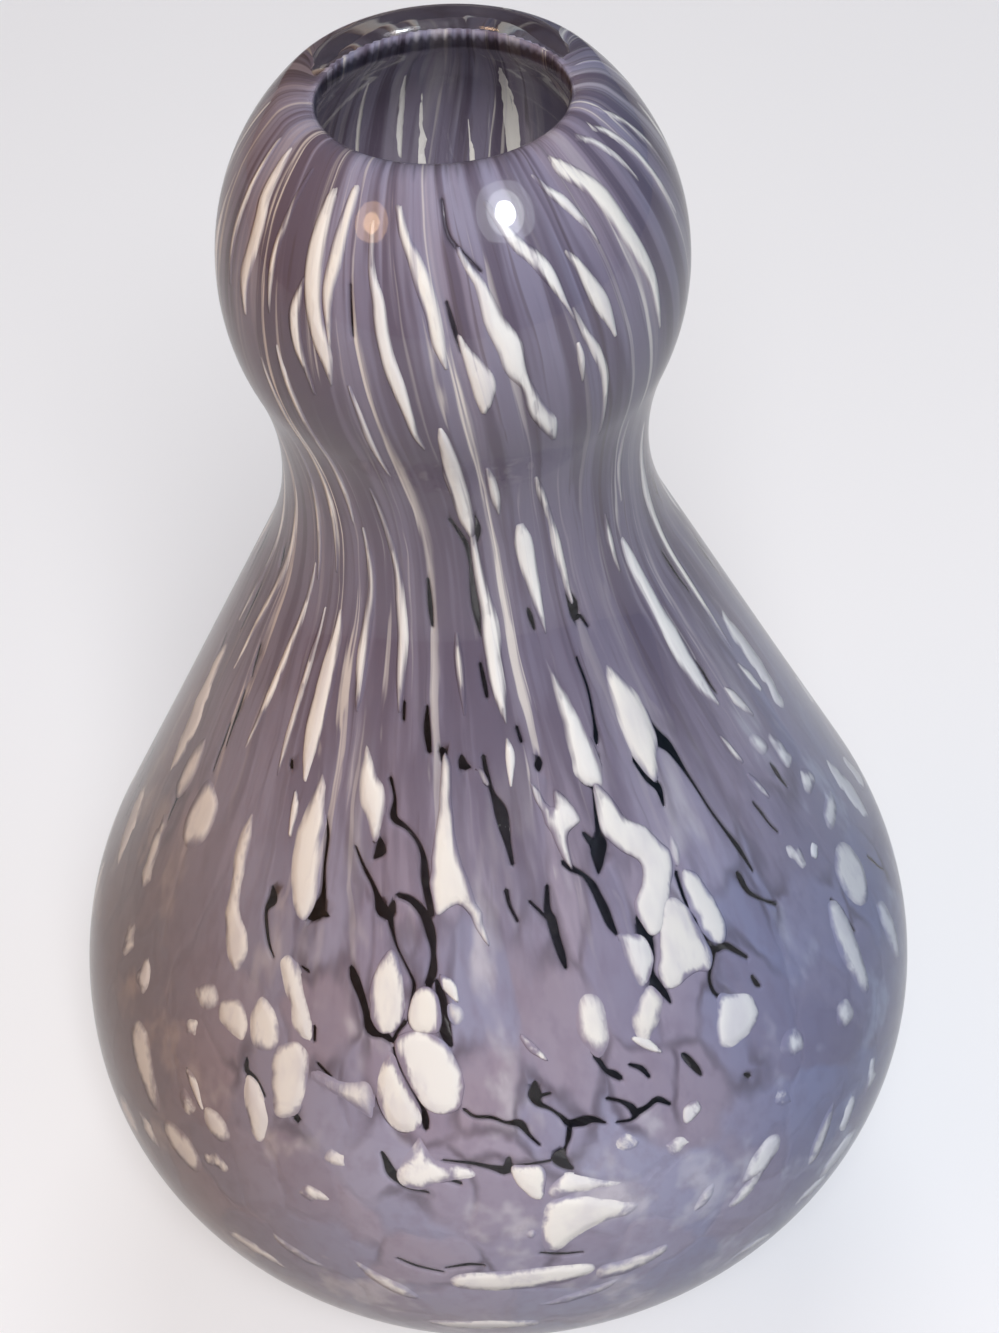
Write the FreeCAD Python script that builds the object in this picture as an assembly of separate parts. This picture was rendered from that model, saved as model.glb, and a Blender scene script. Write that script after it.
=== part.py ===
import FreeCAD, Part
import math
import os
import random

# A blown double gourd vase in cased glass. The body is built in coats, as it is at the furnace:
# a clear inner gather, a coat of lavender glass chips, white chips over them, and a clear casing
# that also rounds the lip. The origin is at the middle of the ground foot and +Z is up.
# All lengths are in millimetres and all angles in degrees.

# Outer form
overall_height = 200.0
foot_radius = 31.0
belly_radius = 65.0
belly_height = 41.0
waist_radius = 25.0
bulb_radius = 30.6
mouth_radius = 15.5

# Bends of the outer line, as shares of the height from the belly to the lip
shoulder_bend_share = 0.3434
waist_bend_share = 0.2642
bulb_bend_share = 0.2226

# Coats of glass, from the outside in
casing_wall = 2.6
white_coat = 0.6
lavender_coat = 0.9
gather_wall = 1.7
base_thickness = 11.0
coat_clearance = 0.08
chip_crown = 0.12

# Ground dish under the foot
pontil_radius = 11.0
pontil_depth = 0.8

# Lavender chips: as many around the body at every height, drawn out into streaks towards the top
chips_around = 42
belly_chip_length = 9.5
shoulder_chip_length = 17.0
neck_streak_length = 44.0
chip_gap = 0.35
open_gap = 1.6
open_reach = 7.0
station_spacing = 4.0
fewest_stations = 4
smoothest_degree = 3
travel_fineness_share = 0.0001
chip_stagger_share = 0.5
chip_jitter_share = 0.30
dropped_chip_share = 0.10
chip_end_share = 0.04
widest_cell_share = 1.5
cell_reach_share = 2.6
foot_chips_around = 15
foot_chip_margin = 3.0
foot_station_shares = (0.1, 0.4, 0.7, 0.9)

# Swirl of the streaks against the meridians, in degrees of azimuth
bulb_swirl = -16.0
shoulder_swirl = 8.0

# White chips that the front does not place
hidden_white_count = 96
front_half_angle = 84.0
outline_steps = 12
drop_roundness = 2.0
drop_taper_share = 0.25
touch_share = 0.1
white_width = 5.0
white_width_spread = 2.4
hidden_white_lean = 4.0
tries_per_white = 8
travel_crowding = 0.8
shortest_white_share = 0.5
white_length_spread_share = 0.6
narrower_white_share = 0.3
apart_across_share = 0.75
apart_along_share = 0.6
layout_seed = 20

# White chips of the front. A row is the azimuth of the chip's middle and its lean over its length,
# in degrees, then its height, length and width as shares of the overall height.
bulb_white_shares = [
    (-76, 2, 0.940, 0.080, 0.012),
    (-62, 2, 0.942, 0.110, 0.017),
    (-45, 3, 0.915, 0.070, 0.012),
    (-36, 6, 0.930, 0.130, 0.023),
    (-18, 10, 0.888, 0.120, 0.014),
    (-9, 12, 0.930, 0.110, 0.013),
    (4, 5, 0.868, 0.070, 0.019),
    (11, 19, 0.905, 0.140, 0.022),
    (29, 16, 0.920, 0.120, 0.017),
    (38, 10, 0.905, 0.090, 0.012),
    (50, 20, 0.945, 0.130, 0.025),
    (61, 10, 0.965, 0.060, 0.011),
    (70, 12, 0.945, 0.090, 0.012),
    (77, 12, 0.950, 0.090, 0.012),
]
waist_white_shares = [
    (-78, -2, 0.700, 0.100, 0.013),
    (-59, -2, 0.655, 0.150, 0.014),
    (-52, 3, 0.745, 0.120, 0.010),
    (-43, 3, 0.705, 0.120, 0.009),
    (-34, 2, 0.735, 0.060, 0.010),
    (-33, 1, 0.648, 0.100, 0.012),
    (-25, 9, 0.690, 0.180, 0.014),
    (-5, 3, 0.632, 0.070, 0.010),
    (-3, 5, 0.790, 0.090, 0.015),
    (8, 4, 0.785, 0.040, 0.008),
    (3, 7, 0.660, 0.170, 0.013),
    (16, 4, 0.700, 0.075, 0.016),
    (26, 7, 0.715, 0.090, 0.009),
    (47, 3, 0.700, 0.060, 0.008),
    (58, 3, 0.760, 0.070, 0.009),
    (59, 3, 0.615, 0.180, 0.021),
    (77, 6, 0.640, 0.200, 0.015),
]
shoulder_white_shares = [
    (-77, 0, 0.398, 0.055, 0.030),
    (-67, 0, 0.463, 0.055, 0.036),
    (-51, -2, 0.600, 0.120, 0.013),
    (-43, -2, 0.585, 0.125, 0.020),
    (-51, 3, 0.448, 0.105, 0.022),
    (-37, 1, 0.500, 0.130, 0.029),
    (-25, 3, 0.555, 0.085, 0.022),
    (-8, 1, 0.535, 0.105, 0.022),
    (-4, 5, 0.475, 0.085, 0.024),
    (-3, 0, 0.568, 0.022, 0.018),
    (14, 5, 0.530, 0.090, 0.019),
    (22, 5, 0.590, 0.120, 0.021),
    (38, 3, 0.585, 0.120, 0.025),
    (27, 4, 0.525, 0.120, 0.030),
    (38, 2, 0.485, 0.110, 0.026),
    (31, 0, 0.475, 0.055, 0.026),
    (61, 4, 0.455, 0.045, 0.010),
    (71, 3, 0.455, 0.045, 0.014),
    (60, 3, 0.425, 0.035, 0.010),
    (72, 0, 0.355, 0.065, 0.040),
    (35, 0, 0.440, 0.055, 0.042),
    (25, 0, 0.440, 0.050, 0.032),
    (30, 0, 0.415, 0.032, 0.022),
    (63, 2, 0.305, 0.110, 0.026),
    (70, 0, 0.250, 0.110, 0.020),
]
belly_white_shares = [
    (-18, 0, 0.422, 0.066, 0.031),
    (-12, 0, 0.415, 0.042, 0.028),
    (-7, 0, 0.425, 0.034, 0.014),
    (-12, 0, 0.374, 0.072, 0.052),
    (-19, 0, 0.358, 0.066, 0.034),
    (-34, 1, 0.405, 0.070, 0.027),
    (-39, 0, 0.372, 0.046, 0.033),
    (-45, 0, 0.367, 0.042, 0.029),
    (-51, 0, 0.367, 0.028, 0.024),
    (-33, 0, 0.355, 0.082, 0.040),
    (-38, 0, 0.312, 0.058, 0.020),
    (-48, 3, 0.298, 0.055, 0.014),
    (-43, 0, 0.288, 0.048, 0.042),
    (-58, 0, 0.272, 0.050, 0.050),
    (-24, 0, 0.345, 0.034, 0.030),
    (15, 0, 0.398, 0.048, 0.038),
    (24, 0, 0.402, 0.058, 0.033),
    (7, 4, 0.382, 0.040, 0.011),
    (11, 0, 0.372, 0.016, 0.044),
    (37, 0, 0.375, 0.068, 0.052),
    (35, 0, 0.340, 0.024, 0.036),
    (46, 0, 0.317, 0.036, 0.030),
    (23, 0, 0.358, 0.018, 0.036),
    (52, 3, 0.400, 0.040, 0.014),
    (55, 0, 0.300, 0.030, 0.024),
]
lower_white_shares = [
    (-12, 0, 0.302, 0.056, 0.046),
    (-5, 0, 0.302, 0.024, 0.062),
    (4, 0, 0.296, 0.034, 0.046),
    (11, 0, 0.286, 0.026, 0.072),
    (12, 0, 0.252, 0.056, 0.082),
    (0, 0, 0.202, 0.032, 0.116),
    (15, 0, 0.186, 0.032, 0.084),
    (-24, 0, 0.186, 0.028, 0.090),
    (-53, 0, 0.265, 0.080, 0.046),
    (36, 0, 0.276, 0.036, 0.056),
    (42, 0, 0.242, 0.060, 0.046),
    (30, 0, 0.244, 0.034, 0.056),
    (48, 0, 0.284, 0.034, 0.026),
    (-37, 0, 0.170, 0.040, 0.060),
    (58, 0, 0.205, 0.046, 0.050),
    (-66, 0, 0.190, 0.050, 0.044),
    (2, 0, 0.115, 0.045, 0.060),
    (31, 0, 0.130, 0.040, 0.060),
    (-22, 0, 0.120, 0.040, 0.050),
]

# Places of the front where the chips stand apart and the dark inside shows between them:
# azimuth in degrees, and height as a share of the overall height.
open_place_shares = [
    (0, 0.690), (-15, 0.685), (31, 0.675), (-12, 0.580), (-4, 0.575), (19, 0.560), (42, 0.565),
    (5, 0.530), (-24, 0.510), (27, 0.522), (-12, 0.490), (-33, 0.475), (12, 0.465), (-21, 0.475),
    (20, 0.485), (-11, 0.440), (28, 0.450), (-22, 0.405), (-9, 0.400), (5, 0.345), (16, 0.350),
    (12, 0.335), (0, 0.320), (6, 0.305), (28, 0.362), (-33, 0.335),
]

# Heights that part the chips into groups, as shares of the overall height
lower_top_share = 0.31
belly_top_share = 0.44
shoulder_top_share = 0.61
waist_top_share = 0.80

upper_height = overall_height - belly_height
shoulder_bend = shoulder_bend_share * upper_height
waist_bend = waist_bend_share * upper_height
bulb_bend = bulb_bend_share * upper_height
body_wall = casing_wall + white_coat + lavender_coat + gather_wall
lip_radius = body_wall / 2
lavender_depth = casing_wall + white_coat
gather_depth = lavender_depth + lavender_coat


def vector(radius, height, azimuth=0.0):
    """A point by its distance from the axis, its height and its azimuth, which is 0 at the front."""
    angle = math.radians(azimuth)
    return FreeCAD.Vector(radius * math.sin(angle), -radius * math.cos(angle), height)


# The outer line rises from the edge of the foot to the lip through runs that meet in tangents.
# A run is (centre radius, centre height, bend, first angle, last angle): its points stand at
# centre + bend * (cos, sin) of the angle of the outward normal, and a hollow bend is negative.

def find_foot_bend():
    """Radius of the lower flank, which passes through the foot's edge and is upright at the belly."""
    reach = belly_radius - foot_radius
    return (reach ** 2 + belly_height ** 2) / (2 * reach)


def find_lip_centre(bulb_centre_radius):
    """Distance of the lip's centre from the axis, and its height above the bulb's centre."""
    radius = mouth_radius + lip_radius
    across = radius - bulb_centre_radius
    return radius, math.sqrt((bulb_bend - lip_radius) ** 2 - across ** 2)


def build_runs():
    """The arcs of the outer line, and the angle of the straight cone between belly and waist."""
    foot_bend = find_foot_bend()
    foot_angle = math.asin(-belly_height / foot_bend)
    if foot_radius < belly_radius - foot_bend:
        foot_angle = -math.pi - foot_angle
    bulb_centre_radius = bulb_radius - bulb_bend
    lip_centre_radius, lip_rise = find_lip_centre(bulb_centre_radius)
    bulb_height = overall_height - lip_radius - lip_rise
    lip_angle = math.atan2(lip_rise, lip_centre_radius - bulb_centre_radius)
    waist_centre_radius = waist_radius + waist_bend
    across = waist_centre_radius - bulb_centre_radius
    waist_drop = math.sqrt((waist_bend + bulb_bend) ** 2 - across ** 2)
    waist_height = bulb_height - waist_drop
    neck_angle = -math.atan2(waist_drop, across)
    shoulder_centre_radius = belly_radius - shoulder_bend
    rise = waist_height - belly_height
    run_out = waist_centre_radius - shoulder_centre_radius
    tangent = math.acos((shoulder_bend + waist_bend) / math.hypot(run_out, rise))
    cone_angle = math.atan2(rise, run_out) - tangent
    return [
        (belly_radius - foot_bend, belly_height, foot_bend, foot_angle, 0.0),
        (shoulder_centre_radius, belly_height, shoulder_bend, 0.0, cone_angle),
        (waist_centre_radius, waist_height, -waist_bend, cone_angle, neck_angle),
        (bulb_centre_radius, bulb_height, bulb_bend, neck_angle, lip_angle),
    ]


runs = build_runs()


def run_point(run, angle, depth):
    """Radius and height of a point of a run, at a depth below the outer surface."""
    centre_radius, centre_height, bend, first, last = run
    reach = bend - depth
    return centre_radius + reach * math.cos(angle), centre_height + reach * math.sin(angle)


def cone_length():
    start = run_point(runs[1], runs[1][4], 0.0)
    end = run_point(runs[2], runs[2][3], 0.0)
    return math.dist(start, end)


def run_length(run):
    return abs(run[2] * (run[4] - run[3]))


body_travel = sum(run_length(run) for run in runs) + cone_length()
belly_travel = run_length(runs[0])
cone_start = belly_travel + run_length(runs[1])
waist_start = cone_start + cone_length()
bulb_start = waist_start + run_length(runs[2])


def body_point(travel, depth):
    """Radius and height at a travel along the outer line from the foot's edge, at a depth."""
    if travel < 0:
        return foot_radius + travel, depth
    if cone_start < travel < waist_start:
        share = (travel - cone_start) / (waist_start - cone_start)
        low = run_point(runs[1], runs[1][4], depth)
        high = run_point(runs[2], runs[2][3], depth)
        return low[0] + share * (high[0] - low[0]), low[1] + share * (high[1] - low[1])
    starts = [0.0, belly_travel, waist_start, bulb_start]
    index = max(i for i in range(len(runs)) if travel >= starts[i] or i == 0)
    run = runs[index]
    angle = run[3] + (run[4] - run[3]) * (travel - starts[index]) / run_length(run)
    return run_point(run, angle, depth)


def travel_at_height(height):
    """Travel at which the outer line reaches a height, found by halving."""
    low, high = 0.0, body_travel
    while high - low > body_travel * travel_fineness_share:
        middle = (low + high) / 2
        if body_point(middle, 0.0)[1] < height:
            low = middle
        else:
            high = middle
    return low


def arc_edge(first, middle, last):
    return Part.Arc(vector(*first), vector(*middle), vector(*last)).toShape()


def line_edge(first, last):
    return Part.LineSegment(vector(*first), vector(*last)).toShape()


def run_edge(run, depth):
    middle = (run[3] + run[4]) / 2
    first_point = run_point(run, run[3], depth)
    last_point = run_point(run, run[4], depth)
    return arc_edge(first_point, run_point(run, middle, depth), last_point)


def wall_edges(depth, kept_runs):
    """The outer line moved in by a depth, from the first kept run to the lip."""
    cone = line_edge(run_point(runs[1], runs[1][4], depth), run_point(runs[2], runs[2][3], depth))
    edges = [run_edge(run, depth) for run in kept_runs if run in runs[:2]]
    return edges + [cone] + [run_edge(run, depth) for run in runs[2:]]


def foot_corner(depth):
    """Where a coat's flat bottom meets its lower flank."""
    centre_radius, centre_height, bend = runs[0][:3]
    return centre_radius + math.sqrt((bend - depth) ** 2 - (centre_height - depth) ** 2), depth


def flank_edge(depth):
    """Lower flank of a coat, from its own flat bottom to the belly."""
    centre_radius, centre_height, bend = runs[0][:3]
    corner = foot_corner(depth)
    first = math.atan2(corner[1] - centre_height, corner[0] - centre_radius)
    middle = run_point(runs[0], first / 2, depth)
    return arc_edge(corner, middle, run_point(runs[0], 0.0, depth))


def lip_point(depth):
    """End of a coat below the rounded lip."""
    return run_point(runs[3], runs[3][4], depth)


def turned(edges):
    """Solid that a closed outline makes when it is turned about the axis."""
    wire = Part.Wire(Part.__sortEdges__(edges))
    face = Part.Face(wire)
    return face.revolve(FreeCAD.Vector(0, 0, 0), FreeCAD.Vector(0, 0, 1), 360)


def lip_edge():
    """Half round of the lip, from the outer surface over the rim to the bore."""
    angle = runs[3][4]
    centre = lip_point(lip_radius)
    crest = (centre[0] - lip_radius * math.sin(angle), centre[1] + lip_radius * math.cos(angle))
    return arc_edge(lip_point(0.0), crest, lip_point(body_wall))


def pontil_edge():
    """Shallow ground dish under the middle of the foot."""
    bend = (pontil_radius ** 2 + pontil_depth ** 2) / (2 * pontil_depth)
    half = math.asin(pontil_radius / bend) / 2
    middle = (bend * math.sin(half), pontil_depth - bend * (1 - math.cos(half)))
    return arc_edge((0.0, pontil_depth), middle, (pontil_radius, 0.0))


def outer_casing():
    """Clear casing with the lip, over the chips."""
    foot = (foot_radius, 0.0)
    edges = [pontil_edge(), line_edge((pontil_radius, 0.0), foot)]
    edges += wall_edges(0.0, runs) + [lip_edge()]
    edges += [line_edge(lip_point(body_wall), lip_point(casing_wall))]
    edges += wall_edges(casing_wall, runs[1:]) + [flank_edge(casing_wall)]
    edges += [line_edge(foot_corner(casing_wall), (0.0, casing_wall))]
    edges += [line_edge((0.0, casing_wall), (0.0, pontil_depth))]
    return turned(edges)


def inner_gather():
    """Clear bubble under the chips, with the hollow of the vase and its heavy bottom."""
    edges = [line_edge((0.0, gather_depth), foot_corner(gather_depth)), flank_edge(gather_depth)]
    edges += wall_edges(gather_depth, runs[1:])
    edges += [line_edge(lip_point(gather_depth), lip_point(body_wall))]
    edges += wall_edges(body_wall, runs[1:])
    bend = belly_height - base_thickness
    centre_radius = belly_radius - body_wall - bend
    diagonal = bend * math.cos(math.pi / 4)
    middle = (centre_radius + diagonal, belly_height - diagonal)
    floor = (centre_radius, base_thickness)
    edges += [arc_edge((belly_radius - body_wall, belly_height), middle, floor)]
    edges += [line_edge(floor, (0.0, base_thickness))]
    edges += [line_edge((0.0, base_thickness), (0.0, gather_depth))]
    return turned(edges)


def swirl(travel):
    """Azimuth by which the streaks have turned at a travel, against the waist."""
    waist_travel = (waist_start + bulb_start) / 2
    if travel > waist_travel:
        share = (travel - waist_travel) / (body_travel - waist_travel)
        return bulb_swirl * share
    share = (waist_travel - travel) / (waist_travel - belly_travel)
    return shoulder_swirl * math.sin(min(share, 1.0) * math.pi / 2)


# A chip is a thin tile that follows the body: two crowned faces and four narrow walls. Its stations
# run from its lower end to its upper end, and each is (travel, left azimuth, right azimuth).

def crowned_row(station, depth, crown):
    """Poles across a tile at a station. The middle pole stands out twice as far as its face bulges."""
    travel, left, right = station
    half = math.radians((right - left) / 2)
    sag = body_point(travel, depth)[0] * (1 - math.cos(half))
    middle_depth = depth - 2 * (sag + crown)
    places = ((left, depth), ((left + right) / 2, middle_depth), (right, depth))
    return [vector(*body_point(travel, place[1]), place[0]) for place in places]


def smooth_face(rows):
    """Face over rows of poles, smooth along the rows' order and of the row's own degree across."""
    across = len(rows[0]) - 1
    along = min(smoothest_degree, len(rows) - 1)
    spans = len(rows) - along
    surface = Part.BSplineSurface()
    surface.buildFromPolesMultsKnots(
        [[row[i] for row in rows] for i in range(across + 1)],
        [across + 1, across + 1],
        [along + 1] + [1] * (spans - 1) + [along + 1],
        [0, 1],
        list(range(spans + 1)),
        False, False, across, along)
    return surface.toShape()


def tile(stations, top_depth, coat):
    """Solid of one chip in a coat."""
    outer = [crowned_row(station, top_depth + coat_clearance + chip_crown, chip_crown) for station in stations]
    inner = [crowned_row(station, top_depth + coat - coat_clearance, 0.0) for station in stations]
    faces = [
        smooth_face(outer),
        smooth_face(inner),
        smooth_face([[top[0], low[0]] for top, low in zip(outer, inner)]),
        smooth_face([[top[-1], low[-1]] for top, low in zip(outer, inner)]),
        smooth_face([outer[0], inner[0]]),
        smooth_face([outer[-1], inner[-1]])]
    shell = Part.Shell(faces)
    shell.sewShape()
    solid = Part.Solid(shell)
    if solid.Volume < 0:
        solid.reverse()
    return solid


def station_count(length):
    return max(fewest_stations, math.ceil(length / station_spacing))


def clip(polygon, across, along, limit):
    """The part of a polygon on the near side of a line, where across * x + along * y is the limit."""
    kept = []
    for first, last in zip(polygon, polygon[1:] + polygon[:1]):
        first_side = across * first[0] + along * first[1] - limit
        last_side = across * last[0] + along * last[1] - limit
        if first_side <= 0:
            kept.append(first)
        if (first_side < 0) != (last_side < 0) and first_side != last_side:
            share = first_side / (first_side - last_side)
            kept.append((first[0] + share * (last[0] - first[0]), first[1] + share * (last[1] - first[1])))
    return kept


def cell_width(cell, along):
    """Left and right ends of a cell at a place along it."""
    crossings = []
    for first, last in zip(cell, cell[1:] + cell[:1]):
        if min(first[1], last[1]) <= along < max(first[1], last[1]):
            share = (along - first[1]) / (last[1] - first[1])
            crossings.append(first[0] + share * (last[0] - first[0]))
    return min(crossings), max(crossings)


def lean_at(share, chip):
    """Azimuth offset along a white chip: its own lean if it has one, or else the swirl."""
    azimuth, travel, length, width, lean = chip
    if lean:
        return -lean * share / 2
    return swirl(travel + share * length / 2) - swirl(travel)


def white_outline(chip):
    """Outline of a white chip as (azimuth, travel): a drop that is squat below and drawn out above."""
    azimuth, travel, length, width, lean = chip
    roundness = drop_roundness * (1 + min(1.0, width / length))
    left = []
    right = []
    for i in range(outline_steps + 1):
        share = -math.cos(math.pi * i / outline_steps)
        here = travel + share * length / 2
        half_width = width / 2 * (1 - abs(share) ** roundness) ** (1 / roundness)
        half_width = half_width * (1 - drop_taper_share * share)
        half = math.degrees(half_width / body_point(here, casing_wall)[0])
        middle = azimuth + lean_at(share, chip)
        left.append((middle - half, here))
        right.append((middle + half, here))
    return right[:-1] + left[:0:-1]


def part_whites(chip, other, outline):
    """A white chip's outline, stopped short of another chip that it would run into."""
    radius = body_point((chip[1] + other[1]) / 2, casing_wall)[0]
    turn = (other[0] - chip[0] + 180) % 360 - 180
    scale = math.radians(1) * radius
    across = turn * scale / ((chip[3] + other[3]) / 2)
    along = (other[1] - chip[1]) / ((chip[2] + other[2]) / 2)
    if math.hypot(across, along) > 1.0 + touch_share:
        return outline
    share = math.sqrt(chip[2] * chip[3]) / (math.sqrt(chip[2] * chip[3]) + math.sqrt(other[2] * other[3]))
    slope_across = across / ((chip[3] + other[3]) / 2) * scale
    slope_along = along / ((chip[2] + other[2]) / 2)
    limit = slope_across * (chip[0] + share * turn) + slope_along * (chip[1] + share * (other[1] - chip[1]))
    inset = chip_gap / 2 * math.hypot(slope_across / scale, slope_along)
    return clip(outline, slope_across, slope_along, limit - inset)


def white_chip(chip, chips):
    """White chip among its neighbours."""
    outline = white_outline(chip)
    for other in chips:
        if other is not chip:
            outline = part_whites(chip, other, outline)
    low = min(point[1] for point in outline)
    high = max(point[1] for point in outline)
    count = station_count(high - low)
    stations = []
    for i in range(count):
        share = chip_end_share + (1 - 2 * chip_end_share) * i / (count - 1)
        here = low + share * (high - low)
        left, right = cell_width(outline, here)
        stations.append((here, left, right))
    return tile(stations, casing_wall, white_coat)


def front_whites():
    """White chips of the front, each as (azimuth, travel, length, width, lean)."""
    chips = []
    tables = (bulb_white_shares, waist_white_shares, shoulder_white_shares,
              belly_white_shares, lower_white_shares)
    for table in tables:
        for azimuth, lean, height_share, length_share, width_share in table:
            length = length_share * overall_height
            travel = travel_at_height(height_share * overall_height)
            travel = min(travel, body_travel - length / 2 - chip_gap)
            chips.append((azimuth, travel, length, width_share * overall_height, lean))
    return chips


def local_chip_length(travel):
    """Length of a chip at a travel: short on the belly, drawn out towards the neck."""
    waist_travel = (waist_start + bulb_start) / 2
    if travel < cone_start:
        share = max(0.0, (travel - belly_travel) / (cone_start - belly_travel))
        return belly_chip_length + share * (shoulder_chip_length - belly_chip_length) / 2
    share = min(1.0, (travel - cone_start) / (waist_travel - cone_start))
    low = (belly_chip_length + shoulder_chip_length) / 2
    return low + share * (neck_streak_length - low)


def hidden_whites(draw):
    """White chips of the sides and the back, spread by chance and kept apart."""
    chips = []
    for _ in range(hidden_white_count * tries_per_white):
        if len(chips) >= hidden_white_count:
            break
        azimuth = front_half_angle + draw.random() * (360 - 2 * front_half_angle)
        travel = body_travel * draw.random() ** travel_crowding
        length_share = shortest_white_share + white_length_spread_share * draw.random()
        length = local_chip_length(travel) * length_share
        travel = max(travel, length / 2 + chip_gap)
        travel = min(travel, body_travel - length / 2 - chip_gap)
        radius = body_point(travel, 0.0)[0]
        width = white_width + white_width_spread * (draw.random() - narrower_white_share)
        width = width * math.sqrt(radius / belly_radius)
        lean = hidden_white_lean * draw.random()
        if all(stand_apart((azimuth, travel, length, width), other) for other in chips):
            chips.append((azimuth, travel, length, width, lean))
    return chips


def stand_apart(chip, other):
    """Whether two chips clear each other, by the boxes round them."""
    radius = body_point((chip[1] + other[1]) / 2, 0.0)[0]
    turn = (chip[0] - other[0] + 180) % 360 - 180
    across = abs(math.radians(turn)) * radius
    along = abs(chip[1] - other[1])
    wide_enough = across > (chip[3] + other[3]) * apart_across_share
    return wide_enough or along > (chip[2] + other[2]) * apart_along_share


def chip_rows():
    """Travels that part the lavender chips into rows, from the foot's edge to the lip."""
    marks = [0.0]
    while marks[-1] < body_travel:
        marks.append(marks[-1] + local_chip_length(marks[-1]))
    stretch = body_travel / marks[-1]
    return [mark * stretch for mark in marks]


def row_travel(marks, place):
    """Travel at a place counted in rows."""
    index = min(len(marks) - 2, max(0, math.floor(place)))
    return marks[index] + (place - index) * (marks[index + 1] - marks[index])


def chip_sites(draw, rows):
    """Middles of the lavender chips, in columns around and rows up, with some left out."""
    sites = []
    for row in range(rows):
        for column in range(chips_around):
            across = column + chip_stagger_share * (row % 2) + chip_jitter_share * (2 * draw.random() - 1)
            along = row + 0.5 + chip_jitter_share * (2 * draw.random() - 1)
            if draw.random() > dropped_chip_share:
                sites.append((across % chips_around, along))
    return sites


def chip_cell(site, sites, marks):
    """Cell of one lavender chip: what is nearest to its middle, less half the gap to the next."""
    rows = len(marks) - 1
    travel = row_travel(marks, site[1])
    width = 2 * math.pi * body_point(travel, lavender_depth)[0] / chips_around
    length = row_travel(marks, site[1] + 0.5) - row_travel(marks, site[1] - 0.5)
    inset = gap_at(site[0] * 360 / chips_around + swirl(travel), travel) / 2
    low, high = inset / length, rows - inset / length
    left, right = site[0] - widest_cell_share, site[0] + widest_cell_share
    cell = [(left, low), (right, low), (right, high), (left, high)]
    for other in sites:
        turn = (other[0] - site[0] + chips_around / 2) % chips_around - chips_around / 2
        along = other[1] - site[1]
        if other is site or abs(along) > cell_reach_share or abs(turn) > cell_reach_share:
            continue
        limit = turn * (site[0] + turn / 2) + along * (site[1] + along / 2)
        cell = clip(cell, turn, along, limit - inset * math.hypot(turn / width, along / length))
    return cell


def gap_at(azimuth, travel):
    """Width of the gap beside a chip: it opens near the places where the inside shows."""
    radius, height = body_point(travel, 0.0)
    widest = 0.0
    for place_azimuth, height_share in open_place_shares:
        turn = (azimuth - place_azimuth + 180) % 360 - 180
        across = math.radians(turn) * radius
        along = height - height_share * overall_height
        widest = max(widest, math.exp(-(across ** 2 + along ** 2) / open_reach ** 2))
    return chip_gap + (open_gap - chip_gap) * widest


def cell_chip(cell, marks):
    """Lavender chip that fills a cell."""
    low = min(point[1] for point in cell)
    high = max(point[1] for point in cell)
    turn = 360 / chips_around
    count = station_count(row_travel(marks, high) - row_travel(marks, low))
    stations = []
    for i in range(count):
        share = chip_end_share + (1 - 2 * chip_end_share) * i / (count - 1)
        place = low + share * (high - low)
        here = row_travel(marks, place)
        left, right = cell_width(cell, place)
        stations.append((here, left * turn + swirl(here), right * turn + swirl(here)))
    return tile(stations, lavender_depth, lavender_coat)


def foot_chips():
    """Lavender chips in the flat bottom, in a ring between the pontil mark and the foot's edge."""
    inner = -(foot_radius - pontil_radius)
    outer = -foot_chip_margin
    step = 360 / foot_chips_around
    chips = []
    for i in range(foot_chips_around):
        stations = []
        for share in foot_station_shares:
            travel = inner + share * (outer - inner)
            half = step / 2 - math.degrees(chip_gap / 2 / (foot_radius + travel))
            stations.append((travel, i * step - half, i * step + half))
        chips.append(tile(stations, lavender_depth, lavender_coat))
    return chips


def group_name(solid):
    """Part of the body that a chip belongs to, by the height of its middle."""
    share = solid.CenterOfMass.z / overall_height
    tops = (lower_top_share, belly_top_share, shoulder_top_share, waist_top_share)
    names = ("lower_belly", "upper_belly", "shoulder", "waist", "bulb")
    return names[sum(share > top for top in tops)]


def chip_groups(colour, chips):
    groups = {}
    for solid in chips:
        kind = "streaks" if group_name(solid) in ("waist", "bulb") else "chips"
        groups.setdefault(f"{colour}_{kind}_{group_name(solid)}", []).append(solid)
    return groups


def save(name, shape):
    shape.exportStep(f"parts/{name}.step")
    print(name, len(shape.Solids), "solids", round(shape.Volume, 1), "mm3")


def main():
    os.makedirs("parts", exist_ok=True)
    draw = random.Random(layout_seed)
    marks = chip_rows()
    sites = chip_sites(draw, len(marks) - 1)
    lavender = [cell_chip(chip_cell(site, sites, marks), marks) for site in sites] + foot_chips()
    white_places = front_whites() + hidden_whites(draw)
    whites = [white_chip(chip, white_places) for chip in white_places]
    nodes = {**chip_groups("lavender", lavender), **chip_groups("white", whites)}
    save("outer_casing", outer_casing())
    save("inner_gather", inner_gather())
    for name, solids in nodes.items():
        save(name, Part.makeCompound(solids))


main()
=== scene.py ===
import bpy
import math
import random
import numpy as np
from mathutils import Matrix, Vector
from mathutils.geometry import delaunay_2d_cdt


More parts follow.
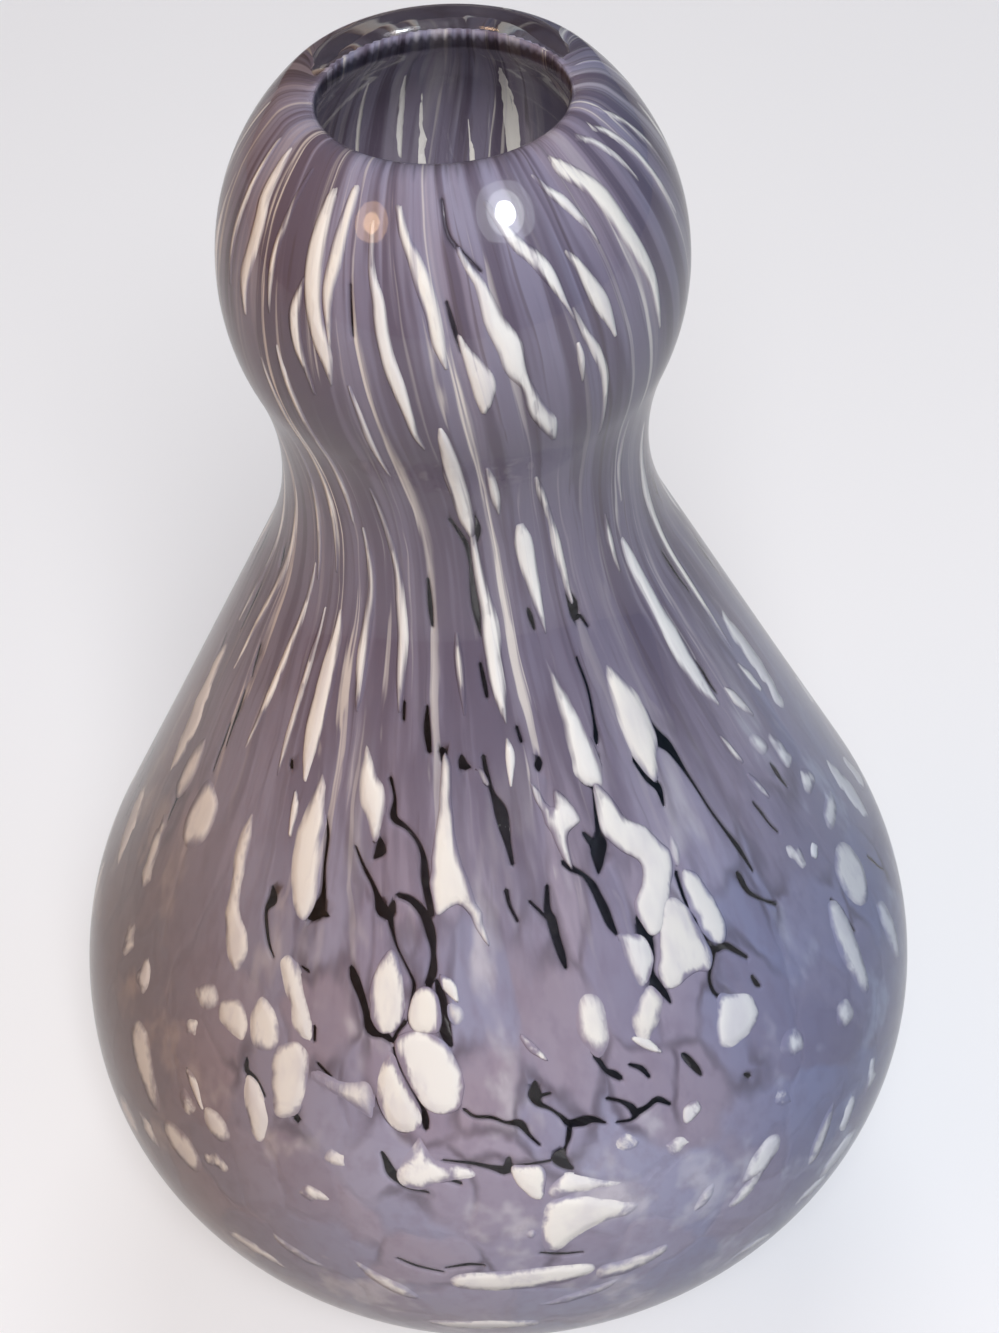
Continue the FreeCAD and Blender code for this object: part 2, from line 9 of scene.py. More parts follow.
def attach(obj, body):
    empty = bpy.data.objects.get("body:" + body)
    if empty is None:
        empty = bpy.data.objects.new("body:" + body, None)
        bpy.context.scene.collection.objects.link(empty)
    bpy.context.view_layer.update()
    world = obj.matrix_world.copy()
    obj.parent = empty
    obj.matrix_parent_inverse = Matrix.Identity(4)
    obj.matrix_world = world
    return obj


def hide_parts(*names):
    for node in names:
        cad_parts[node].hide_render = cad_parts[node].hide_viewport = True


# A blown double gourd vase in cased glass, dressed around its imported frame. Lengths are in
# millimetres and angles in degrees until a mesh is made, which is in metres. Azimuth 0 is the
# front.

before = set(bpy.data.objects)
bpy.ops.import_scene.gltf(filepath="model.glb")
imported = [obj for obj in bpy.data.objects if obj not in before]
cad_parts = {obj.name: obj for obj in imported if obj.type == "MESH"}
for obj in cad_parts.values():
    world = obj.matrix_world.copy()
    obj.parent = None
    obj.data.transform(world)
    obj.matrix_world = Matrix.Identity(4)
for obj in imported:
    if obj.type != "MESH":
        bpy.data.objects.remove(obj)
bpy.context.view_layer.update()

# Outer form and coats, as in the frame
overall_height = 200.0
foot_radius = 31.0
belly_radius = 65.0
belly_height = 41.0
waist_radius = 25.0
bulb_radius = 30.6
mouth_radius = 15.5
shoulder_bend = 0.3434 * (overall_height - belly_height)
waist_bend = 0.2642 * (overall_height - belly_height)
bulb_bend = 0.2226 * (overall_height - belly_height)
casing_wall = 2.6
white_coat = 0.6
lavender_coat = 0.9
gather_wall = 1.7
base_thickness = 11.0
pontil_radius = 11.0
pontil_depth = 0.8

# Layout of the chips
chips_around = 42
belly_chip_length = 9.5
shoulder_chip_length = 17.0
neck_streak_length = 44.0
chip_gap = 0.35
bulb_swirl = -16.0
shoulder_swirl = 8.0
hidden_white_count = 96
front_half_angle = 84.0
white_width = 5.0
white_width_spread = 2.4
hidden_white_lean = 4.0
layout_seed = 20
per_metre = 1000

body_wall = casing_wall + white_coat + lavender_coat + gather_wall
lip_radius = body_wall / 2
lavender_depth = casing_wall + white_coat
gather_depth = lavender_depth + lavender_coat

# Places where the lavender coat is open and the dark inside shows. A stroke is a row of
# (azimuth, height, width).
dark_strokes = [
    [(-22, 113, .5), (-20.6, 110.5, .4), (-20.4, 108, 1.2), (-17.5, 107, .6), (-15, 105.5, .5),
     (-13.5, 103.5, .8), (-13, 101, 1.3), (-12.3, 98.5, 1.1), (-11.5, 96, .8)],
    [(-18, 98, .9), (-15.5, 97.6, 1.2), (-13, 96, 1.6), (-11.6, 93.5, 1.6), (-11, 91, .7),
     (-11, 88.5, 1.3), (-11.7, 86.6, 1.2)],
    [(-10.3, 87.2, .6), (-9.5, 85, 1.6), (-9, 82, 1.9), (-8.6, 80, 1.6), (-7.9, 78.6, .6)],
    [(-28, 103, .2), (-25.5, 100.5, .5), (-23.5, 98.8, .6), (-22.2, 97.3, 1.0), (-20.8, 95.6, 2.4),
     (-19.4, 95.6, 1.8), (-18.9, 97, .6)],
    [(-19.4, 95, 1.0), (-18.6, 93, .5), (-17.5, 91, .25), (-15.5, 88.5, .25), (-14.2, 86.5, .5),
     (-14.5, 84, .35), (-14.6, 81.5, .7)],
    [(-25.4, 87, .7), (-24.6, 85.6, 1.5), (-23.2, 83.6, 1.2), (-22, 81.4, 1.1), (-21, 79.2, 1.7),
     (-18.8, 79, 1.3), (-17.2, 78.4, .8), (-16.6, 79.6, .4), (-15.4, 81.2, .6)],
    [(-17, 77.5, .2), (-16.5, 76, .2), (-14.4, 73, .2), (-12.1, 69.8, .5), (-11.7, 68.4, 1.2),
     (-11.5, 67, .8)],
    [(-19, 70, .2), (-17, 67.5, .45), (-14.5, 66.3, .3)],
    [(-6, 70, .3), (-4.5, 69, .4), (-2, 68.8, .5), (0, 68, .4), (2, 67.7, 1.3), (3.2, 66, .5),
     (4.5, 64.5, .3)],
    [(4.7, 73.2, .6), (4.5, 71.6, 2.2), (5, 70.2, 1.0), (6.5, 69.3, .35), (8, 68, .5),
     (9, 66.9, 1.1), (11, 66.8, 1.7), (12.5, 66.7, 1.0), (14.2, 65.8, .2)],
    [(4.8, 71.2, .8), (6.8, 71.4, .3)],
    [(9, 66.3, .8), (8.6, 64.8, .7), (8, 63.5, .4), (7, 62.3, 2.4), (7.7, 61, 1.6),
     (8.7, 60.1, .4)],
    [(-9, 62.6, .2), (-5, 62.3, .5), (-2.2, 61.6, .8), (-.3, 61.2, 1.7), (.1, 63, .4)],
    [(0, 61.5, .8), (2, 61.7, .3), (5.8, 61.9, .35)],
    [(-17.6, 62.6, .4), (-17, 61.5, .9), (-16, 59.5, 1.7), (-14, 57.8, .6), (-11, 57.2, .25)],
    [(-9.5, 60, .2), (-8, 59.6, .5), (-6.6, 59.1, .5)],
    [(14.3, 75.3, .7), (15, 74, .7), (15.6, 72.8, .6), (16.6, 72.1, 1.1), (17.6, 71.2, .7)],
    [(19.3, 72.7, .3), (21, 71.6, .7), (21.9, 70.1, .4)],
    [(15, 69.1, .4), (17, 68.1, .5), (18.3, 66.9, 1.1), (18.8, 66, 1.3), (20.6, 66.2, .8),
     (22.3, 66.7, .9), (24, 65.4, .4)],
    [(15.8, 65.5, .25), (17.8, 65.2, .45), (18.8, 65.6, .8)],
    [(27.8, 71.2, .5), (28.4, 70.2, 1.1), (29.4, 68.3, 1.0), (29.8, 67.3, .4)],
    [(2.8, 99.2, .6), (3.2, 97.2, .4), (4.4, 95, .35)],
    [(10.7, 99, .5), (10.1, 95.8, 1.1), (10.6, 94.4, 1.5), (11, 92, 1.3), (11.6, 89.5, 1.1),
     (11.9, 87.8, .4)],
    [(7, 97.4, .25), (8.8, 95.8, .35), (10, 94.8, .6)],
    [(14.6, 101.6, .7), (16, 100.5, .8), (18, 99.3, .5), (19.4, 97.6, 1.1), (20, 96, 1.2),
     (20.7, 94, 1.4), (21.2, 92, 1.2), (21.9, 90.3, .4)],
    [(26.3, 91.4, .4), (27, 88.6, 2.3), (27.2, 86, 1.3), (26.5, 83.6, .6), (26.4, 82, 1.7),
     (27.6, 80.2, 1.0), (28.2, 78.6, .3)],
    [(28.9, 88.8, .4), (27.6, 88, 1.0)],
    [(25, 81.2, .4), (26.2, 82, .8)],
    [(36.4, 94.4, .6), (36.3, 92, .5), (36.4, 90, .4), (37.3, 86, .3), (38.2, 82.9, .4),
     (39, 81.9, 1.0), (41, 81.4, 1.0), (43.9, 78.1, .5)],
    [(38.6, 81.9, .8), (37.3, 80.5, .6), (36, 79, .6), (35.9, 77, .6), (36.6, 75.8, .3)],
    [(43.4, 75.4, .4), (43.7, 74.2, .9), (44.2, 73.4, .3)],
    [(-6, 150, .3), (-3, 147.2, .6), (-1, 145, .8), (0, 142, .7), (.5, 139, 1.5), (.8, 136, 1.6),
     (1.5, 133.4, 1.0), (1.7, 132, .3)],
    [(1.5, 150.4, .4), (2.3, 147.8, 1.2), (1.6, 145.6, .5)],
    [(-14.6, 139.8, .3), (-14, 136, .7), (-13.4, 133.2, .3)],
    [(16.9, 134.4, .3), (17.4, 133.2, .7), (18, 131.6, .3)],
    [(30.7, 135, .4), (31.9, 132.8, 1.7), (31.6, 131, .9), (33.4, 131, .5), (35, 129.3, .2)],
    [(28.8, 126.4, .2), (29.5, 122, .3), (28.6, 117.6, .4), (28.1, 116, .8), (27.8, 115, .3)],
    [(.7, 128.4, .3), (1.5, 126, .6), (1.9, 124.2, .4)],
    [(8.8, 120, .3), (9.5, 118, .4)],
    [(-20.5, 123, .4), (-20.2, 120.8, .4)],
    [(-14.1, 122.9, .3), (-14, 120, 1.1), (-13.2, 117.2, .7)],
    [(-10.4, 117.4, .5), (-9.7, 117.4, 1.3), (-9.8, 116.2, .5)],
    [(-5.2, 116.8, .4), (-4.9, 115.6, 1.5), (-3.3, 115.4, .3)],
    [(0, 116.7, .5), (.5, 114.5, .6), (1.5, 112, .6), (3, 109.6, 1.9), (3.5, 107.5, 1.6),
     (4, 105, .8), (4.5, 102.5, .4)],
    [(13, 115.6, .4), (12.8, 114.8, 1.2), (12.7, 114, .5)],
    [(27, 113.6, .4), (25.1, 111, .8), (24.4, 109, .8), (23.6, 106.5, .7), (22.9, 104, .8),
     (22.4, 102.2, 2.8), (21.7, 100, 1.5), (21.2, 98.9, .4)],
    [(19.8, 104.6, .3), (21, 103.2, 1.0), (22, 102.6, 1.2)],
    [(22.5, 111.6, .3), (24.1, 110, .5)],
    [(35.5, 110.9, .5), (37, 107.8, .6), (39, 105.8, 1.1), (38.8, 103.3, .3)],
    [(42.3, 114.6, .4), (43, 112, 2.0), (45.3, 109.4, 1.5), (46.8, 105.4, .6), (47.8, 102.3, .35),
     (48.8, 98.6, .35), (50, 95.2, .45), (51.4, 91.2, .9), (52.2, 87.2, .4)],
    [(48.6, 88.8, .5), (48.9, 87.6, 1.2), (49.4, 85.4, .8), (51.4, 83, .3), (53.8, 80.8, .5)],
    [(30.2, 99.2, .4), (30.8, 98.5, .8)],
    [(-22.9, 104.9, .5), (-22.6, 103.6, 1.9), (-23.7, 102.2, .4)],
    [(-44, 92.8, .6), (-43.4, 91.5, 1.7), (-44.2, 89.6, .7), (-43.4, 87.6, .7), (-41.8, 85.2, .5),
     (-40.4, 84, .2)],
    [(-35.6, 105, .3), (-34.5, 103, .5), (-34, 99, .4), (-33.1, 95.4, .9), (-33.3, 93, 2.4),
     (-34.7, 91.6, 1.6)],
    [(-33.2, 92.8, 1.4), (-31.5, 92.8, .7)],
    [(-40.8, 68.6, .5), (-40.4, 67, 1.1), (-38.4, 66.6, .4), (-36.5, 65, .3)],
    [(-30.4, 77.4, .4), (-30.1, 75.5, .4)],
    [(-31.2, 64.6, .6), (-30.7, 63.8, 1.4)],
    [(-28.9, 72.6, .3), (-27.6, 71.9, .4), (-26.4, 71.4, .2)],
    [(-47.7, 110, .4), (-47.4, 109.2, .9)],
    [(-34.6, 84.6, .2), (-33.2, 84.4, .4)],
    [(36.4, 64, .4), (37, 63.4, .9)],
    [(-2, 198, .15), (-1, 195, .3), (1, 193.5, .4), (4.4, 192, .3), (8, 190.2, .15)],
    [(-2, 187, .15), (-.8, 184.5, .5), (.3, 182, .4), (1, 180.3, .15)],
    [(-28.5, 188, .1), (-27.5, 184.5, .3), (-26.8, 181.4, .1)],
    [(-15.5, 43.6, .3), (-13, 42.4, .6), (-9.5, 41.6, .3)],
    [(3.4, 45.6, .2), (6, 44.8, .5), (9, 44.4, .2)],
    [(-9, 42.6, .3), (-6, 43.6, .7), (-4, 43.5, .3)],
]

# White streaks of the bulb, the waist and the shoulder, as strokes
white_strokes = [
    [(2, 193, .4), (4.5, 190.8, 1.0), (7.5, 188.5, 1.8), (10, 184.6, 2.7), (12.6, 180.6, 3.3),
     (14.2, 177, 3.0), (16.8, 174, 1.8), (19.2, 170, 2.4), (22.3, 166.4, 2.4), (24.6, 163, .6)],
    [(-17, 197.6, .7), (-13.5, 194.3, 1.5), (-10.4, 192, 1.8), (-7.6, 188.7, 2.1),
     (-5.5, 185.3, 1.9), (-4.2, 181.6, 1.7), (-2.8, 178, .5)],
    [(.8, 182.5, .5), (2, 180.7, 1.2), (4.1, 178.3, 2.3), (6.2, 175.4, 3.1), (6.2, 172.8, 2.3),
     (5.6, 170.6, .6)],
    [(-25, 197, .5), (-22.8, 190.6, .9), (-19.8, 186.4, 1.7), (-18.5, 182.3, 2.1),
     (-16.7, 178, 2.3), (-15, 174.8, 2.1), (-13, 170.9, 1.7), (-12, 167, 1.0), (-9.9, 164.2, .3)],
    [(-41, 198.4, 1.4), (-40.7, 194, 2.4), (-40, 189, 2.8), (-38.5, 184.5, 2.8), (-36, 180, 2.8),
     (-34, 176.5, 1.7), (-33, 173.2, .4)],
    [(-33, 198.8, 1.1), (-33.5, 195, 2.1), (-34, 190, 2.1), (-34.5, 186, 1.7), (-33.5, 182, 1.0),
     (-33, 178.6, .3)],
    [(-42.5, 187, .5), (-43.3, 184.5, 1.4), (-43.9, 181.4, 2.1), (-42.7, 177.5, 1.8),
     (-40.2, 174, .8), (-38.5, 170.6, .3)],
    [(-68, 198.6, .8), (-67, 196, 2.0), (-66.5, 193, 2.6), (-64.5, 189.5, 3.0), (-64.5, 185.5, 2.8),
     (-65, 181.5, 2.2), (-63, 177, .6)],
    [(12, 197.6, .7), (18.5, 192.9, 1.9), (23, 190.6, 2.3), (26.5, 187.9, 2.3), (29.5, 184, .8),
     (31.5, 181, .3)],
    [(33, 190, .5), (35.6, 187.8, 1.5), (38.3, 184, 2.4), (40.4, 180.6, 2.2), (42.5, 176.2, .6)],
    [(31, 183, .4), (33, 179.5, 1.2), (35.7, 176.2, 1.7), (38.4, 171.5, 1.5), (39.3, 165.5, .9),
     (40.5, 159.6, .3)],
    [(31, 178, .4), (31.5, 175.5, 1.0), (31.8, 171.8, .3)],
    [(40, 199, 1.4), (43.8, 197.6, 2.8), (49.5, 194.8, 3.2), (53.7, 189.8, 3.0), (56.3, 184.8, 2.6),
     (58.2, 180.2, 2.2), (59, 176.5, 1.5), (60, 172, .4)],
    [(31.5, 198.6, .5), (34.7, 196.5, 1.1), (38.5, 194.6, 1.4), (42, 191.6, .9), (44, 188.8, .3)],
    [(65, 199.2, .8), (71, 197, 1.4), (75, 193.2, 1.6), (78, 188, 1.2), (80, 182.6, .4)],
    [(56, 199.2, .8), (61, 198, 1.3), (66, 195.2, 1.2), (69, 191, .4)],
    [(76, 199, .6), (81, 196.4, 1.4), (85, 192, 1.2), (87, 186.6, .4)],
    [(-76, 198.6, .5), (-75.4, 194, 1.5), (-75, 188, 1.6), (-74, 183, 1.3), (-72, 178.6, .3)],
    [(-53, 198.4, .5), (-54, 194, 1.0), (-54.6, 189, 1.2), (-54, 184, .9), (-53, 180, .3)],
    [(-5.5, 168.5, .5), (-4.8, 166.3, 1.7), (-3.7, 162.5, 2.3), (-3, 158, 2.7), (-1.8, 154, 2.7),
     (-.4, 150, 2.2), (.6, 146.8, .6)],
    [(6, 160, .5), (7.3, 156.8, 1.4), (8.5, 153.5, 1.6), (9.7, 150.2, .4)],
    [(21, 156, .5), (23.5, 152.3, 1.3), (27, 147, 1.1), (28.6, 143, 1.4), (30.2, 138, 1.2),
     (31.8, 133.2, .3)],
    [(55, 158, .4), (56, 153, .9), (57, 148, 1.0), (58.5, 142.6, .4)],
    [(-50, 176, .4), (-47.6, 171, 1.1), (-45.2, 165, 1.2), (-42.5, 157.5, 1.1), (-41, 151, .9),
     (-40, 145.6, .3)],
    [(-57, 172, .4), (-54, 166, 1.0), (-51.5, 159, 1.2), (-50, 152, 1.2), (-49, 144, 1.0),
     (-48, 136.6, .3)],
    [(-60, 163, .4), (-58.5, 156, 1.0), (-57.5, 149, 1.2), (-57, 141, 1.1), (-56, 133.6, .4)],
    [(-28, 174, .4), (-26, 169, .9), (-24, 163, .9), (-22, 157.6, .3)],
    [(-30.5, 154, .4), (-28, 148, .9), (-25.5, 142.5, 1.2), (-23.7, 137.5, 1.5), (-22.5, 131, 1.9),
     (-22.1, 126, 1.6), (-21.4, 121.6, .4)],
    [(-36.5, 146, .4), (-34.5, 140, 1.2), (-33.9, 136, 1.5), (-34.3, 132, 1.6), (-34.3, 127, 1.9),
     (-33.4, 123, 1.4), (-33, 120.2, .3)],
    [(-44.5, 132, .5), (-44, 128, 2.0), (-44.2, 122, 3.2), (-44, 116.5, 3.3), (-43.4, 112, 2.2),
     (-42.8, 108.6, .6)],
    [(-50.6, 131, .4), (-50.7, 125, .9), (-50.5, 118, 1.2), (-50.6, 112, 1.2), (-50.2, 107, .3)],
    [(-58, 136, .4), (-59, 128, 1.2), (-60, 119, 1.6), (-61, 112, 1.1), (-62, 106.6, .3)],
    [(-71, 146, .4), (-73, 137, 1.4), (-75, 128, 1.8), (-77, 119, 1.4), (-78, 112, .3)],
    [(-84, 150, .4), (-85, 139, 1.5), (-86, 127, 1.6), (-87, 116, .5)],
    [(-5.8, 132.6, .4), (-5.4, 129, 1.5), (-4.9, 126, 1.3), (-4.3, 122, .3)],
    [(.8, 147, .6), (1.8, 143, 1.4), (3, 138.5, 1.7), (4.2, 135, 2.1), (4.6, 131, 2.9),
     (4.9, 127, 2.7), (5.5, 123.5, 1.5), (6.2, 120.6, .3)],
    [(6, 118.8, .4), (6.4, 116.3, 1.5), (5.8, 112.6, .3)],
    [(16.4, 147.8, 1.0), (17.3, 145, 2.5), (18.5, 141.5, 2.6), (20, 137, 2.1), (20.7, 133.4, 1.2),
     (21.1, 130.6, .3)],
    [(49.8, 143, .3), (50.3, 139, 1.2), (51.7, 133.2, .4)],
    [(56, 137.6, .6), (57.5, 134, 1.9), (59.3, 128.5, 2.9), (59.8, 122, 3.7), (61, 116, 4.2),
     (62.2, 112, 3.0), (64, 108.2, .5)],
    [(72, 152, .7), (75.5, 143, 2.1), (77.5, 136, 2.3), (78.6, 128, 2.0), (79, 120, 1.6),
     (79.5, 109.6, .4)],
    [(133, 199.2, .8), (134, 196, 3.0), (135, 190, 3.5), (134, 182, 2.5), (132, 174, .8)],
    [(157, 199.1, .5), (158, 192, 1.5), (159, 180, 1.4), (160, 170, .4)],
    [(165, 199.1, .4), (166, 190, 1.2), (167, 178, 1.0), (168, 168, .4)],
    [(-168, 199.1, .6), (-167, 191, 2.0), (-166, 180, 1.8), (-165, 170, .4)],
    [(-154, 199.1, .6), (-153, 190, 2.0), (-152, 181, 1.6), (-151, 172, .5)],
    [(118, 199.1, .6), (120, 194, 1.6), (121, 186, 1.4), (122, 178, .4)],
    [(108, 199.1, .6), (110, 195, 1.5), (112, 188, 1.3), (114, 180, .4)],
    [(-100, 199, .5), (-100, 192, 1.4), (-99, 183, 1.2), (-98, 174, .4)],
    [(-128, 199, .5), (-127, 191, 1.8), (-126, 182, 1.4), (-125, 173, .4)],
    [(-9.5, 88, .6), (-8.3, 86.8, 1.9), (-6.8, 84.8, .4)],
    [(3.3, 79.8, .4), (4.8, 78, 1.1), (6.8, 76.1, .3)],
    [(20.6, 76.1, .3), (22.5, 74.8, 1.1), (24.5, 72.9, .3)],
    [(-44.3, 106.6, .4), (-43.4, 104.4, 1.2), (-43, 100.8, .4)],
    [(-50.6, 61.2, .6), (-48.8, 60, 1.5), (-46.4, 57.2, .4)],
    [(59.6, 105, .3), (60.4, 103, 1.0), (62, 99.6, .4)],
    [(61.6, 97.6, .5), (62.6, 95.4, 1.2), (64, 92.4, .4)],
    [(68.4, 108.6, .4), (69.6, 106.6, 1.6), (71.6, 103.4, .9), (72.6, 101.6, .3)],
    [(78, 107.6, .5), (79, 104.6, 2.0), (80.6, 101.4, .8)],
]

